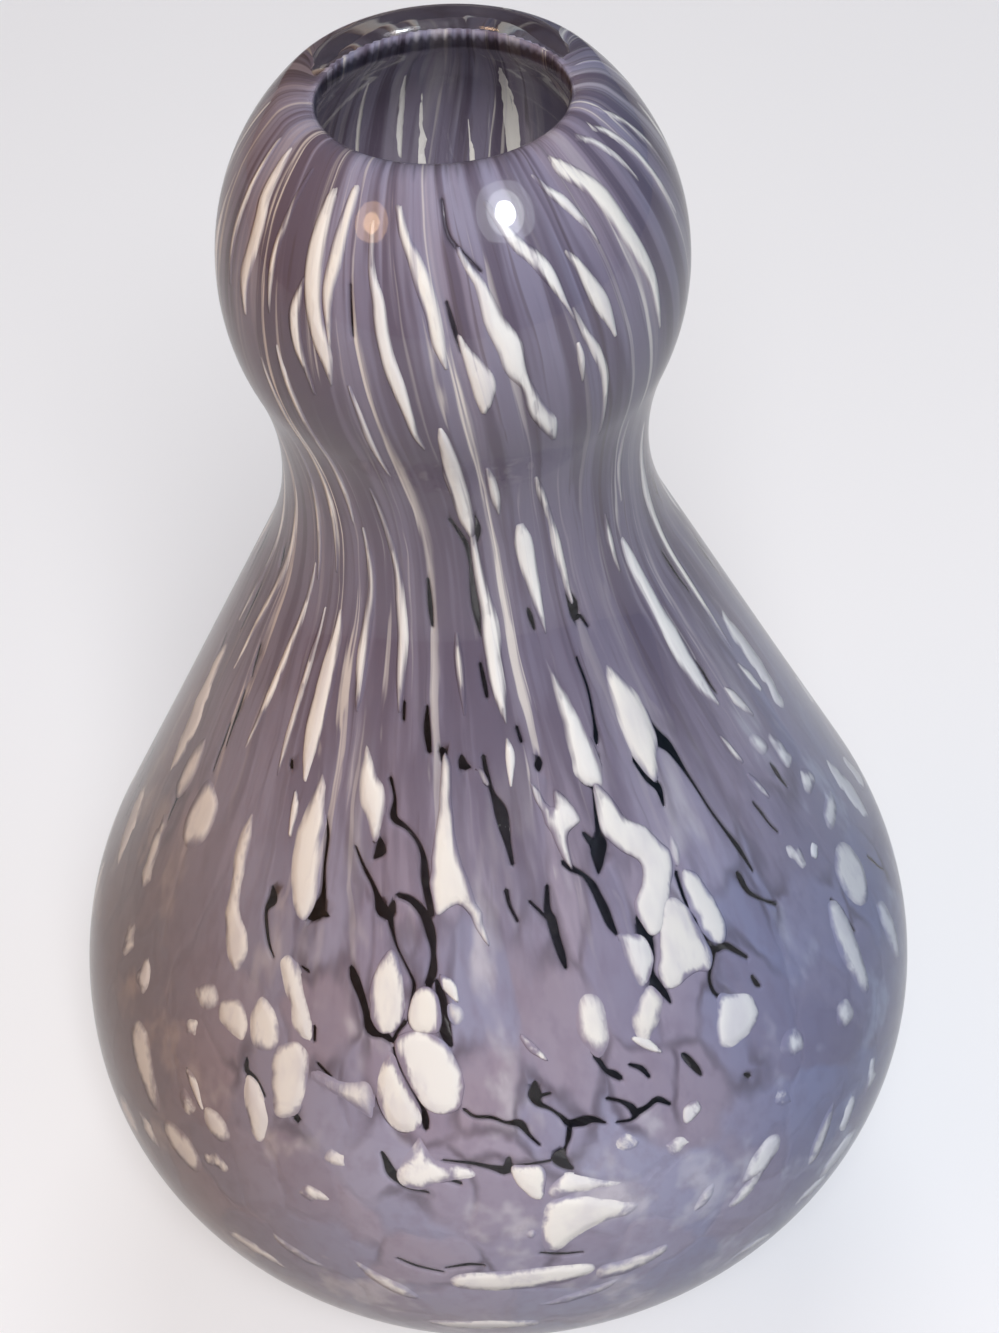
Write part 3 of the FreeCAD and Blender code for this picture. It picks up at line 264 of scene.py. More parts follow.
# White chips of the shoulder and the belly, each as its outline of (azimuth, height), with how far
# its colour fades in from its edge.
white_outlines = [
    (.25, [(-9.2, 117), (-10.2, 113), (-10.4, 108), (-11.6, 104), (-11.6, 100), (-10.6, 96.2),
           (-8.6, 97), (-6.2, 98.2), (-4.4, 96.4), (-2.2, 93.4), (-.8, 92.2), (-2.2, 96),
           (-4, 99.5), (-5.6, 103), (-7.2, 106), (-7.5, 111), (-7.8, 115.6)]),
    (.4, [(-2.2, 115.2), (0, 114.9), (.7, 112.9), (-.9, 113.7)]),
    (.2, [(-18.5, 90.8), (-20.4, 88.4), (-21.5, 86), (-21.5, 82.5), (-20.4, 80.4), (-19, 79.3),
          (-17.2, 79.9), (-15.7, 82.2), (-15.7, 85.2), (-16.6, 88)]),
    (.2, [(-12.3, 86.4), (-14.2, 85), (-14.8, 82.6), (-14.3, 80.7), (-12, 80.2), (-10, 80.4),
          (-9.5, 82.8), (-10.3, 85.5)]),
    (.25, [(-13.5, 80.2), (-11.2, 80), (-9.4, 79.4), (-8, 78), (-6.8, 76), (-6, 73), (-6.4, 70.6),
           (-9, 69.3), (-11.4, 69.9), (-13.3, 71.8), (-15, 74.5), (-16.4, 77), (-16.5, 79)]),
    (.3, [(-17.3, 77), (-18.7, 75), (-19.3, 71.6), (-18, 68.4), (-15.6, 66.4), (-13.2, 66.6),
          (-12.2, 68.4), (-13.8, 71.4), (-15.5, 74.2)]),
    (.3, [(-12, 66.2), (-10.9, 63.4), (-9.6, 62.4), (-7, 62.2), (-4.7, 61.2), (-4.8, 60),
          (-8, 59.8), (-10, 59), (-11.6, 57.7), (-14.2, 58), (-15.2, 59.8), (-14.5, 62),
          (-13.2, 64.3)]),
    (1.3, [(-29.5, 71.8), (-24, 71.2), (-20.6, 72.5), (-19.4, 70), (-19.4, 67.2), (-21.5, 68),
           (-24.5, 69.2), (-29, 70)]),
    (.25, [(.2, 61.6), (2.4, 61.7), (4.5, 61.3), (4.9, 59), (4.1, 56), (2.6, 56.9), (1, 59)]),
    (.3, [(5, 57), (6.4, 58.8), (8, 59.8), (10.4, 58.6), (13.8, 57), (15.4, 56), (11, 56),
          (8.6, 56.3), (6, 55.5)]),
    (.3, [(5, 55.4), (7, 55.8), (9.4, 55.5), (13, 53.9), (17.2, 51.4), (15.5, 50), (11.5, 49.9),
          (8.5, 48.4), (6, 45.8), (4.2, 46.2), (3.7, 49.5), (4.1, 53)]),
    (.5, [(-8.6, 40), (-7.4, 41.6), (-4.5, 42.2), (0, 42.4), (5, 42.6), (9.6, 42), (10.4, 39.5),
          (6, 37.8), (0, 37.3), (-5, 37.3), (-7.9, 38.2)]),
    (1.0, [(10.8, 40.8), (16, 40.8), (20.6, 41.6), (20.2, 39), (15, 36.8), (10.8, 37)]),
    (1.0, [(3.2, 33), (8, 34.9), (14, 36.4), (12, 33.6), (8, 32.3), (4, 31.6)]),
    (1.0, [(-22, 41.4), (-18, 39.2), (-14, 36.7), (-13, 33.8), (-15.5, 33.7), (-19.2, 36.6)]),
    (1.2, [(-34, 41), (-29, 38.7), (-26, 37.2), (-28, 36), (-32.4, 37.8)]),
    (.8, [(31.8, 46.6), (33.6, 50), (37, 52.4), (39.4, 51.3), (38.7, 48.4), (35.6, 45.8)]),
    (1.0, [(24.2, 45.8), (26, 49.2), (28.3, 49.8), (27, 46.3)]),
    (.7, [(29.6, 43.4), (31.6, 45.6), (34, 47.2), (36.9, 47.8), (35, 45), (32, 42.6)]),
    (1.2, [(44, 39.6), (44.5, 43.5), (47.4, 47), (50.4, 48.4), (49, 44.4), (46.5, 39.8)]),
    (.3, [(36.1, 124.2), (38, 122.8), (39.8, 121.2), (42.5, 118), (43.1, 115), (42.6, 111.5),
          (40, 108.2), (38.5, 106.8), (37, 108.7), (35, 112.5), (34.3, 116.5), (34.6, 120.5)]),
    (.3, [(19.4, 128.6), (21, 126.2), (22.4, 124), (24.6, 120.3), (26.8, 115.5), (27.1, 112),
          (26.3, 109.8), (24.5, 110.4), (22, 111), (20.2, 113), (20.3, 117), (20, 121),
          (19.5, 124.5)]),
    (.25, [(24.5, 110.4), (26.2, 109), (27.6, 107.4), (29.1, 104.3), (32.4, 102.3), (34.8, 99.8),
           (36.3, 97.2), (35.5, 94.9), (33.6, 92.6), (31.3, 90), (29.6, 88.3), (27.6, 89),
           (26.5, 91.2), (26.3, 93.9), (28.8, 95.2), (30, 97.5), (29.4, 99), (27.2, 100.1),
           (25.2, 101.7), (23.7, 103.8), (24, 107.2)]),
    (.25, [(31.4, 92.2), (33.6, 91.6), (35.5, 90.6), (36.6, 87.8), (37.4, 84.4), (37.7, 82),
           (36.2, 79.9), (33.9, 81), (31.9, 80.9), (30.1, 80.4), (28.1, 80.8), (27.3, 83.6),
           (28.7, 85.2), (29.8, 87.6), (30.4, 90)]),
    (.3, [(21.8, 90.2), (24, 89.8), (26.7, 88.4), (27.1, 85.7), (25.9, 83.4), (23.9, 82.3),
          (22.8, 84.5), (22, 88)]),
    (.25, [(37.8, 94.2), (40.4, 92.4), (41.6, 88.1), (42.4, 83.9), (40.3, 82.3), (38.4, 83.3),
           (37.3, 85.5), (36.7, 89.5), (36.4, 92.4)]),
    (.8, [(38.2, 99.6), (38.9, 97), (37.4, 95), (36.1, 95.8), (36.5, 98)]),
    (.7, [(25.5, 82), (27.2, 79.6), (25.6, 77), (22.6, 74.7), (21.2, 76.5), (21.2, 79.2),
          (23.2, 81)]),
    (.35, [(36.2, 76.2), (38.6, 75.4), (41.8, 73.6), (42.4, 70.3), (39.6, 68.9), (35.8, 68.4),
           (33.6, 70), (34.5, 73.1)]),
    (.9, [(44.7, 65.4), (47, 65), (48.1, 63.2), (47.5, 61.4), (44.8, 61.2), (43, 63.5)]),
    (.8, [(64.4, 73.2), (67, 71), (66.6, 66), (65.8, 61.5), (64.4, 57), (62, 57.8), (61, 64.5),
          (61.8, 69.8)]),
    (.9, [(70, 74.5), (74, 76), (78, 73), (78.4, 68), (74.5, 64.6), (70.6, 67), (69.4, 71)]),
    (1.0, [(67.4, 101), (70.6, 99.4), (72, 96.4), (69.6, 96.2), (67, 98.4)]),
    (1.2, [(75.4, 63), (78, 61), (78.4, 55), (76.4, 49.6), (74, 52), (73.8, 59)]),
    (.8, [(-8.2, 84.4), (-6.4, 84.1), (-5.5, 82.8), (-6.5, 81.6), (-8, 82.3)]),
    (1.0, [(12.2, 81.5), (14, 83.8), (16.4, 83.4), (17.2, 81), (17.1, 78), (16.4, 75.8), (14.6, 75),
           (12.9, 77), (11.9, 79.5)]),
    (.25, [(10.2, 113.2), (12.1, 111), (13.6, 109.2), (14.7, 108.6), (14.8, 110.2), (15.3, 111.2),
           (17.6, 109.5), (19.8, 106.2), (18, 105.9), (16.4, 105.4), (16, 103), (16, 100.6),
           (14.8, 102), (13.5, 105), (12.2, 108), (10.8, 110.5)]),
    (.35, [(-28.6, 116.8), (-25.4, 113), (-22.7, 111.5), (-22.2, 108.8), (-23.4, 104.4),
           (-24.7, 105), (-26.5, 107.4), (-28.7, 109.1), (-29.6, 112), (-29.3, 114.5)]),
    (.35, [(-38.4, 110.8), (-37.3, 109), (-36.1, 106.4), (-35.2, 103), (-34.6, 99.7), (-33.9, 96),
           (-34.5, 93.2), (-36.1, 91), (-38.3, 91.8), (-40.2, 95), (-41.3, 98.2), (-41.6, 102),
           (-40.7, 105.5), (-39.7, 108.7)]),
    (.6, [(-53.7, 100.4), (-51.7, 97), (-51.3, 94), (-50.6, 90), (-49.1, 86.5), (-46.4, 85.2),
          (-45.5, 82.3), (-46.6, 79.1), (-49.2, 80.2), (-51.1, 82.5), (-52.9, 85.3), (-53.1, 89),
          (-54.7, 92), (-55.2, 96)]),
    (.9, [(-69.2, 98.3), (-64.4, 97.4), (-62.7, 95.5), (-63.4, 91.5), (-66.1, 87.8), (-69.2, 87.2),
          (-71.5, 88.5), (-71.8, 92.3), (-70.8, 95.8)]),
    (1.2, [(-77, 101), (-74.6, 99), (-74.4, 94), (-77, 89.6), (-80, 90.6), (-80, 96)]),
    (.8, [(-54, 72.2), (-52.3, 74.2), (-50.3, 75.4), (-48.7, 74.5), (-48.9, 72.4), (-51.2, 70.8)]),
    (.5, [(-48.1, 73.8), (-45.4, 75.9), (-43.2, 75.3), (-41.8, 73), (-42.1, 70.6), (-45, 70.8),
          (-48, 71.4)]),
    (.5, [(-41.2, 77.6), (-39.3, 78), (-37, 76.7), (-35.9, 74.1), (-36.5, 71.9), (-38.7, 70.8),
          (-40.6, 71.2), (-42.1, 74.7)]),
    (.5, [(-36, 72.6), (-33, 74.6), (-30.9, 73.9), (-30.1, 71.5), (-30.1, 68), (-30.5, 65.3),
          (-32.4, 63.4), (-34.4, 63.2), (-35.5, 66.5), (-36.4, 69.8)]),
    (.35, [(-39, 84), (-37.2, 85.5), (-34.8, 84.5), (-33.5, 82), (-31.5, 79.3), (-30.5, 75.8),
           (-32.3, 75.4), (-34.4, 76.3), (-35.5, 79), (-37.5, 81.4)]),
    (.4, [(-40, 66.6), (-38.4, 66.4), (-36.3, 64.7), (-35.1, 61.5), (-35.3, 58.2), (-36.8, 57.8),
          (-38.7, 61), (-40.1, 64.2)]),
    (1.0, [(-63, 60.4), (-60, 60), (-57.6, 56.4), (-55, 52.6), (-54.6, 49.4), (-57.4, 49),
           (-60.4, 52), (-63, 54.4), (-64.6, 57.4)]),
    (.8, [(-46, 58), (-43, 58.6), (-40.6, 56), (-42, 53.6), (-45.4, 54.6)]),
    (1.1, [(-53, 50), (-48.6, 50.6), (-45.4, 47), (-46.6, 43.6), (-51, 44), (-54, 47)]),
    (1.0, [(56, 61.6), (58.6, 60.8), (59, 57.4), (56.6, 56.8), (54.6, 59)]),
    (.6, [(-12.6, 26.4), (-6, 27.4), (2, 27.2), (3, 24.4), (-4, 23.2), (-12, 23.6)]),
    (1.0, [(-66, 42), (-62, 41), (-61, 36), (-64.6, 34), (-68, 37.6)]),
    (.5, [(1.6, 49.4), (2.4, 50.6), (3.2, 50), (2.6, 48.8)]),
]

# Small soft white chips of the belly, as (azimuth, height, length, width, lean, fade)
soft_whites = [
    (63, 83, 5.5, 3.2, 2, 1.3), (79, 79, 6, 7, 0, 1.6), (77.5, 86, 5, 5, 0, 1.6),
    (74.5, 94, 8, 3.6, 2, 1.5), (68, 80, 3, 2.4, 0, 1.0), (46, 31, 4.5, 7, 0, 1.5),
    (52, 34, 6, 10, -3, 1.6), (53, 42.5, 7, 3.6, -2, 1.2), (60, 43, 6.5, 4, -2, 1.4),
    (35, 27, 4, 8, 0, 1.5), (41, 57, 4, 3, 0, 1.2), (27, 63.5, 3.2, 3, 0, 1.1),
    (23.6, 59, 3, 4.4, 0, 1.3), (-77, 80, 14, 4.4, 2, 1.7), (-73, 67, 7, 4, 0, 1.7),
    (-66, 66, 6, 4, 0, 1.5), (-52, 67, 4, 3.4, 0, 1.3), (-49.4, 56.4, 5, 3, 2, 1.2),
    (-43, 49.6, 4, 5, 0, 1.5), (-58, 43, 5, 6, 2, 1.7), (-38, 33, 4, 9, 4, 1.6),
    (-27.4, 52.6, 3.4, 5, 0, 1.6), (-24, 60.4, 3.2, 4, 0, 1.5), (16.6, 62.4, 3, 3.4, 0, 1.2),
]


# The outer line rises from the edge of the foot to the lip through runs that meet in tangents.
# A run is (centre radius, centre height, bend, first angle, last angle).

def build_runs():
    reach = belly_radius - foot_radius
    foot_bend = (reach ** 2 + belly_height ** 2) / (2 * reach)
    foot_angle = math.asin(-belly_height / foot_bend)
    if foot_radius < belly_radius - foot_bend:
        foot_angle = -math.pi - foot_angle
    bulb_centre_radius = bulb_radius - bulb_bend
    lip_centre_radius = mouth_radius + lip_radius
    lip_across = lip_centre_radius - bulb_centre_radius
    lip_rise = math.sqrt((bulb_bend - lip_radius) ** 2 - lip_across ** 2)
    bulb_height = overall_height - lip_radius - lip_rise
    lip_angle = math.atan2(lip_rise, lip_across)
    waist_centre_radius = waist_radius + waist_bend
    across = waist_centre_radius - bulb_centre_radius
    waist_drop = math.sqrt((waist_bend + bulb_bend) ** 2 - across ** 2)
    waist_height = bulb_height - waist_drop
    neck_angle = -math.atan2(waist_drop, across)
    shoulder_centre_radius = belly_radius - shoulder_bend
    rise = waist_height - belly_height
    run_out = waist_centre_radius - shoulder_centre_radius
    tangent = math.acos((shoulder_bend + waist_bend) / math.hypot(run_out, rise))
    cone_angle = math.atan2(rise, run_out) - tangent
    return [
        (belly_radius - foot_bend, belly_height, foot_bend, foot_angle, 0.0),
        (shoulder_centre_radius, belly_height, shoulder_bend, 0.0, cone_angle),
        (waist_centre_radius, waist_height, -waist_bend, cone_angle, neck_angle),
        (bulb_centre_radius, bulb_height, bulb_bend, neck_angle, lip_angle),
    ]


runs = build_runs()


def run_point(run, angle, depth):
    reach = run[2] - depth
    return run[0] + reach * np.cos(angle), run[1] + reach * np.sin(angle)


def run_length(run):
    return abs(run[2] * (run[4] - run[3]))


cone_length = math.dist(run_point(runs[1], runs[1][4], 0.0), run_point(runs[2], runs[2][3], 0.0))
body_travel = sum(run_length(run) for run in runs) + cone_length
belly_travel = run_length(runs[0])
cone_start = belly_travel + run_length(runs[1])
waist_start = cone_start + cone_length
bulb_start = waist_start + run_length(runs[2])
waist_travel = (waist_start + bulb_start) / 2


def body_points(travel, depth):
    """Radii and heights at travels along the outer line, at depths below it."""
    travel = np.asarray(travel, float)
    depth = np.broadcast_to(np.asarray(depth, float), travel.shape)
    radius = np.zeros(travel.shape)
    height = np.zeros(travel.shape)
    spans = [(0.0, belly_travel), (belly_travel, cone_start), (waist_start, bulb_start),
             (bulb_start, body_travel)]
    for run, (low, high) in zip(runs, spans):
        inside = (travel >= low) & (travel <= high)
        angle = run[3] + (run[4] - run[3]) * (travel - low) / (high - low)
        across, up = run_point(run, angle, depth)
        radius = np.where(inside, across, radius)
        height = np.where(inside, up, height)
    share = (travel - cone_start) / cone_length
    low = run_point(runs[1], runs[1][4], depth)
    high = run_point(runs[2], runs[2][3], depth)
    on_cone = (travel > cone_start) & (travel < waist_start)
    radius = np.where(on_cone, low[0] + share * (high[0] - low[0]), radius)
    height = np.where(on_cone, low[1] + share * (high[1] - low[1]), height)
    centre = run_point(runs[3], runs[3][4], lip_radius)
    lip_turn = runs[3][4] + (travel - body_travel) / lip_radius
    on_lip = travel > body_travel
    radius = np.where(on_lip, centre[0] + (lip_radius - depth) * np.cos(lip_turn), radius)
    height = np.where(on_lip, centre[1] + (lip_radius - depth) * np.sin(lip_turn), height)
    return radius, height


table_steps = 2000
travel_table = np.linspace(0.0, body_travel, table_steps)
radius_table, height_table = body_points(travel_table, 0.0)


def travel_at(height):
    """Travel at a height. Above the start of the lip it goes on as far as the height does."""
    over = np.maximum(np.asarray(height) - height_table[-1], 0.0)
    return np.interp(height, height_table, travel_table) + over


def radius_at(travel):
    return np.interp(travel, travel_table, radius_table) + np.minimum(travel, 0.0)


def degree_at(travel):
    """Millimetres of the surface in one degree of azimuth, at a travel."""
    return math.radians(1) * radius_at(travel)


def swirl(travel):
    """Azimuth by which the streaks have turned at a travel, against the waist."""
    travel = np.asarray(travel, float)
    above = bulb_swirl * (travel - waist_travel) / (body_travel - waist_travel)
    share = np.clip((waist_travel - travel) / (waist_travel - belly_travel), 0.0, 1.0)
    return np.where(travel > waist_travel, above, shoulder_swirl * np.sin(share * math.pi / 2))


def local_chip_length(travel):
    if travel < cone_start:
        share = max(0.0, (travel - belly_travel) / (cone_start - belly_travel))
        return belly_chip_length + share * (shoulder_chip_length - belly_chip_length) / 2
    share = min(1.0, (travel - cone_start) / (waist_travel - cone_start))
    low = (belly_chip_length + shoulder_chip_length) / 2
    return low + share * (neck_streak_length - low)


def chip_rows():
    marks = [0.0]
    while marks[-1] < body_travel:
        marks.append(marks[-1] + local_chip_length(marks[-1]))
    stretch = body_travel / marks[-1]
    return [mark * stretch for mark in marks]


row_marks = chip_rows()
waist_place = float(np.interp(waist_travel, row_marks, range(len(row_marks))))


def flow_of(azimuth, travel):
    """Coordinates that run with the glass: one unit is one chip, however far it is drawn out."""
    place = np.interp(travel, row_marks, np.arange(len(row_marks)))
    place = place + np.minimum(travel, 0.0) / belly_chip_length
    turn = np.radians(azimuth - swirl(travel))
    round_radius = chips_around / (2 * math.pi)
    return np.stack([round_radius * np.sin(turn), -round_radius * np.cos(turn), place], 1)


def place_points(azimuth, travel, depth):
    radius, height = body_points(np.clip(travel, 0.0, body_travel), depth)
    over = np.maximum(travel - body_travel, 0.0)
    radius = radius + np.minimum(travel, 0.0) - over * math.sin(runs[3][4])
    height = height + over * math.cos(runs[3][4])
    angle = np.radians(azimuth)
    return np.stack([radius * np.sin(angle), -radius * np.cos(angle), height], 1)


def make_piece(name, points, faces, values, material):
    """Mesh object from points in millimetres, with named values at its points."""
    mesh = bpy.data.meshes.new(name)
    mesh.from_pydata((np.asarray(points) / per_metre).tolist(), [], faces)
    mesh.polygons.foreach_set("use_smooth", [True] * len(mesh.polygons))
    for key, data in values.items():
        vector = data.ndim == 2
        layer = mesh.attributes.new(key, "FLOAT_VECTOR" if vector else "FLOAT", "POINT")
        layer.data.foreach_set("vector" if vector else "value", data.astype(np.float32).ravel())
    mesh.materials.append(material)
    piece = bpy.data.objects.new(name, mesh)
    bpy.context.scene.collection.objects.link(piece)
    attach(piece, "root")
    return piece


# Plane work in (azimuth, travel), where flat coordinates are millimetres at the belly

flat_scale = math.radians(1) * belly_radius
stroke_step = 0.5
least_width = 0.08
least_step = 1e-6
tiny = 1e-9
weld_distance = 1e-5
seam_slack = 1e-4
wobble = 0.18
wobble_points = 9


def smooth_line(points, spacing):
    """Catmull-Rom line through rows of values, with its points about a spacing apart."""
    points = np.asarray(points, float)
    padded = np.vstack([2 * points[0] - points[1], points, 2 * points[-1] - points[-2]])
    out = []
    for i in range(1, len(padded) - 2):
        before, first, last, after = padded[i - 1:i + 3]
        scale = degree_at(first[1])
        steps = max(2, int(math.hypot((last[0] - first[0]) * scale, last[1] - first[1]) / spacing))
        for step in range(steps):
            t = step / steps
            out.append(0.5 * (2 * first + (last - before) * t
                              + (2 * before - 5 * first + 4 * last - after) * t ** 2
                              + (3 * first - before - 3 * last + after) * t ** 3))
    out.append(points[-1])
    return np.array(out)


def stroke_line(stroke, width_share=1.0):
    """Stroke as fine rows of (azimuth, travel, width)."""
    rows = np.array([(azimuth, travel_at(height), width) for azimuth, height, width in stroke])
    line = smooth_line(rows, stroke_step)
    line[:, 2] = np.maximum(line[:, 2], least_width) * width_share
    return line


def stroke_outline(line, margin, draw=None):
    """Closed outline round a stroke, as (azimuth, travel)."""
    scale = degree_at(line[:, 1])
    step = np.gradient(np.stack([line[:, 0] * scale, line[:, 1]], 1), axis=0)
    step /= np.maximum(np.linalg.norm(step, axis=1, keepdims=True), least_step)
    sides = []
    for side in (1, -1):
        half = line[:, 2] / 2 + margin
        if draw:
            knots = range(0, len(line) + wobble_points, wobble_points)
            shares = [draw.uniform(1 - wobble, 1 + wobble) for _ in knots]
            half = half * np.interp(np.arange(len(line)), knots, shares)
        sides.append(np.stack([line[:, 0] - side * step[:, 1] * half / scale,
                               line[:, 1] + side * step[:, 0] * half], 1))
    first = line[0, :2] - step[0] * (line[0, 2] / 2 + margin) / np.array([scale[0], 1.0])
    last = line[-1, :2] + step[-1] * (line[-1, 2] / 2 + margin) / np.array([scale[-1], 1.0])
    return np.vstack([sides[0], last[None], sides[1][::-1], first[None]])


def distance_to_outline(points, outline):
    """Distances in millimetres from points to a closed outline, both as (azimuth, travel)."""
    scale = degree_at(points[:, 1])[:, None]
    ends = np.roll(outline, -1, axis=0)
    ax = (outline[None, :, 0] - points[:, None, 0]) * scale
    ay = outline[None, :, 1] - points[:, None, 1]
    bx = (ends - outline)[None, :, 0] * scale
    by = (ends - outline)[None, :, 1]
    t = np.clip(-(ax * bx + ay * by) / np.maximum(bx ** 2 + by ** 2, tiny), 0, 1)
    return np.hypot(ax + t * bx, ay + t * by).min(1)


def inside_outline(points, outline):
    ends = np.roll(outline, -1, axis=0)
    x, y = points[:, None, 0], points[:, None, 1]
    x1, y1, x2, y2 = outline[None, :, 0], outline[None, :, 1], ends[None, :, 0], ends[None, :, 1]
    crosses = (y1 > y) != (y2 > y)
    at = x1 + (y - y1) / np.where(y2 == y1, tiny, y2 - y1) * (x2 - x1)
    return (crosses & (x < at)).sum(1) % 2 == 1


def loop_area(loop):
    following = np.roll(loop, -1, axis=0)
    return 0.5 * np.sum(loop[:, 0] * following[:, 1] - following[:, 0] * loop[:, 1])


def triangulate(points, loops):
    """Triangles over points and closed loops in (azimuth, travel), with the loops round each."""
    flat = [Vector((p[0] * flat_scale, p[1])) for p in points]
    faces = []
    for loop in loops:
        faces.append(list(range(len(flat), len(flat) + len(loop))))
        ring = loop if loop_area(loop) > 0 else loop[::-1]
        flat += [Vector((p[0] * flat_scale, p[1])) for p in ring]
    out, _, triangles, _, _, origins = delaunay_2d_cdt(flat, [], faces, 0, weld_distance)
    placed = np.array([(v[0] / flat_scale, v[1]) for v in out])
    return placed, np.array(triangles), origins


def only_used(places, triangles):
    """Places that the triangles use, and the triangles over them."""
    used, triangles = np.unique(triangles, return_inverse=True)
    return places[used], triangles.reshape(-1, 3)


def rim_of(triangles):
    """Points on the open rim of a sheet of triangles."""
    edges = np.concatenate([triangles[:, pair] for pair in ([0, 1], [1, 2], [2, 0])])
    edges = np.sort(edges, axis=1)
    kinds, counts = np.unique(edges, axis=0, return_counts=True)
    return np.unique(kinds[counts == 1])


def closed_sheet(places, triangles, outer_depth, inner_depth, thickness_share):
    """Closed shell over a sheet, with sides that meet at the rim: points, faces, source rows."""
    count = len(places)
    rim = np.zeros(count, bool)
    rim[rim_of(triangles)] = True
    share = np.where(rim, 0.0, thickness_share)
    middle = (outer_depth + inner_depth) / 2
    half = (inner_depth - outer_depth) / 2
    outer = place_points(places[:, 0], places[:, 1], middle - half * share)
    inner = place_points(places[:, 0], places[:, 1], middle + half * share)
    own = np.where(~rim)[0]
    second = np.arange(count)
    second[own] = count + np.arange(len(own))
    points = np.vstack([outer, inner[own]])
    a, b, c = (outer[triangles[:, i]] for i in range(3))
    normal = np.cross(b - a, c - a)
    centre = (a + b + c) / 3
    out = normal[:, 0] * centre[:, 0] + normal[:, 1] * centre[:, 1] > 0
    flip = out.mean() < 0.5
    front = triangles[:, ::-1] if flip else triangles
    back = second[front[:, ::-1]]
    source = np.concatenate([np.arange(count), own])
    return points, np.vstack([front, back]), source


def rounded(distance, reach):
    """Share of the full thickness at a distance from a rim: a quarter round over a reach."""
    return np.sqrt(1 - (1 - np.clip(distance / reach, 0, 1)) ** 2)


# Lavender coat: one sheet round the vase, with its gaps cut out

far = 99.0
near_reach = 25
gap_width_share = 0.88
pontil_margin = 1.5
lip_cover = 2.0
coat_start = pontil_radius + pontil_margin - foot_radius
coat_end = body_travel + lip_cover
coat_spacing = 1.5
coat_rings = (0.18, 0.45, 0.9)
coat_ring_share = 0.85
coat_clearance = 1.1
coat_least_edge = 0.1
coat_rounding = 0.8
row_share = 0.866
least_row = 12
seam_clearance = 0.3
seam = 179.999

# Dark gaps of the sides and the back, spread by chance, with their spans of azimuth, height,
# length, width and lean
back_gap_count = 64
back_gap_spans = ((60, 300), (62, 140), (3, 9), (0.4, 1.2), (0.2, 1.4))
back_gap_limit = 175
# Points of such a gap, as (share of lean, share of length, share of width, width beside that)
back_gap_shape = (
    (-1.0, 0.5, 0.0, 0.25), (-0.3, 0.15, 1.0, 0.0), (0.2, -0.2, 0.6, 0.0), (1.0, -0.5, 0.0, 0.2),
)


def back_strokes(draw):
    strokes = []
    for _ in range(back_gap_count):
        azimuth, height, length, width, lean = (draw.uniform(*span) for span in back_gap_spans)
        azimuth = azimuth - 360 if azimuth > 180 else azimuth
        if abs(azimuth) < back_gap_limit:
            strokes.append([(azimuth + a * lean, height + b * length, c * width + least)
                            for a, b, c, least in back_gap_shape])
    return strokes


def sheet_points(spacing, low, high):
    """Staggered rows of points over the whole coat, with equal points on both sides of the seam."""
    points = []
    rows = int((high - low) / (spacing * row_share))
    for row in range(rows + 1):
        travel = low + (high - low) * row / rows
        count = max(least_row, int(2 * math.pi * radius_at(travel) / spacing))
        offset = 0.5 * (row % 2)
        points += [(-180 + 360 * (i + offset) / count, travel) for i in range(count)
                   if i + offset > seam_clearance]
        points += [(-180.0, travel), (180.0, travel)]
    return np.array(points)


def stroke_distance(points, line):
    """Distances in millimetres from points to a stroke's edge, less than zero inside it."""
    scale = degree_at(points[:, 1])[:, None]
    across = (points[:, None, 0] - line[None, :, 0]) * scale
    gaps = np.hypot(across, points[:, None, 1] - line[None, :, 1])
    return (gaps - line[None, :, 2] / 2).min(1)


def nearest_stroke(points, strokes):
    """Distances in millimetres from points to the nearest stroke's edge."""
    nearest = np.full(len(points), far)
    for line in strokes:
        close = (abs(points[:, 0] - line[:, 0].mean()) < near_reach)
        close &= (abs(points[:, 1] - line[:, 1].mean()) < near_reach)
        nearest[close] = np.minimum(nearest[close], stroke_distance(points[close], line))
    return nearest


def weld_seam(places, triangles):
    """Triangles that use the seam's left points for its right ones."""
    left = np.where(places[:, 0] < -seam)[0]
    order = left[np.argsort(places[left, 1])]
    right = np.where(places[:, 0] > seam)[0]
    target = np.arange(len(places))
    index = np.searchsorted(places[order, 1], places[right, 1] - seam_slack)
    target[right] = order[np.clip(index, 0, len(order) - 1)]
    return target[triangles]


def lavender_sheet(draw):
    """Places, triangles and edge distances of the coat."""
    strokes = [stroke_line(stroke, gap_width_share) for stroke in dark_strokes + back_strokes(draw)]
    loops = [stroke_outline(line, 0.0, draw) for line in strokes]
    rows = sheet_points(coat_spacing, coat_start, coat_end)
    kept = [rows[nearest_stroke(rows, strokes) > coat_clearance]]
    middles = np.array([line[:, :2].mean(0) for line in strokes])
    for margin in coat_rings:
        for line, middle in zip(strokes, middles):
            ring = stroke_outline(line, margin)
            near = np.where((abs(middles - middle) < near_reach).all(1))[0]
            apart = np.min([stroke_distance(ring, strokes[i]) for i in near], axis=0)
            kept.append(ring[apart > margin * coat_ring_share])
    places, triangles, origins = triangulate(np.vstack(kept), loops)
    places, triangles = only_used(places, triangles[np.array([not o for o in origins])])
    triangles = weld_seam(places, triangles)
    ends = np.minimum(places[:, 1] - coat_start, coat_end - places[:, 1])
    distance = np.maximum(nearest_stroke(places, strokes), coat_least_edge)
    return places, triangles, np.minimum(distance, ends + coat_least_edge)


def build_lavender(material):
    draw = random.Random(layout_seed + 1)
    places, triangles, distance = lavender_sheet(draw)
    share = rounded(distance, coat_rounding)
    points, faces, source = closed_sheet(places, triangles, lavender_depth, gather_depth, share)
    values = {"flow": flow_of(places[source, 0], places[source, 1]), "edge": distance[source]}
    return make_piece("lavender_coat", points, faces.tolist(), values, material)


# White chips and streaks

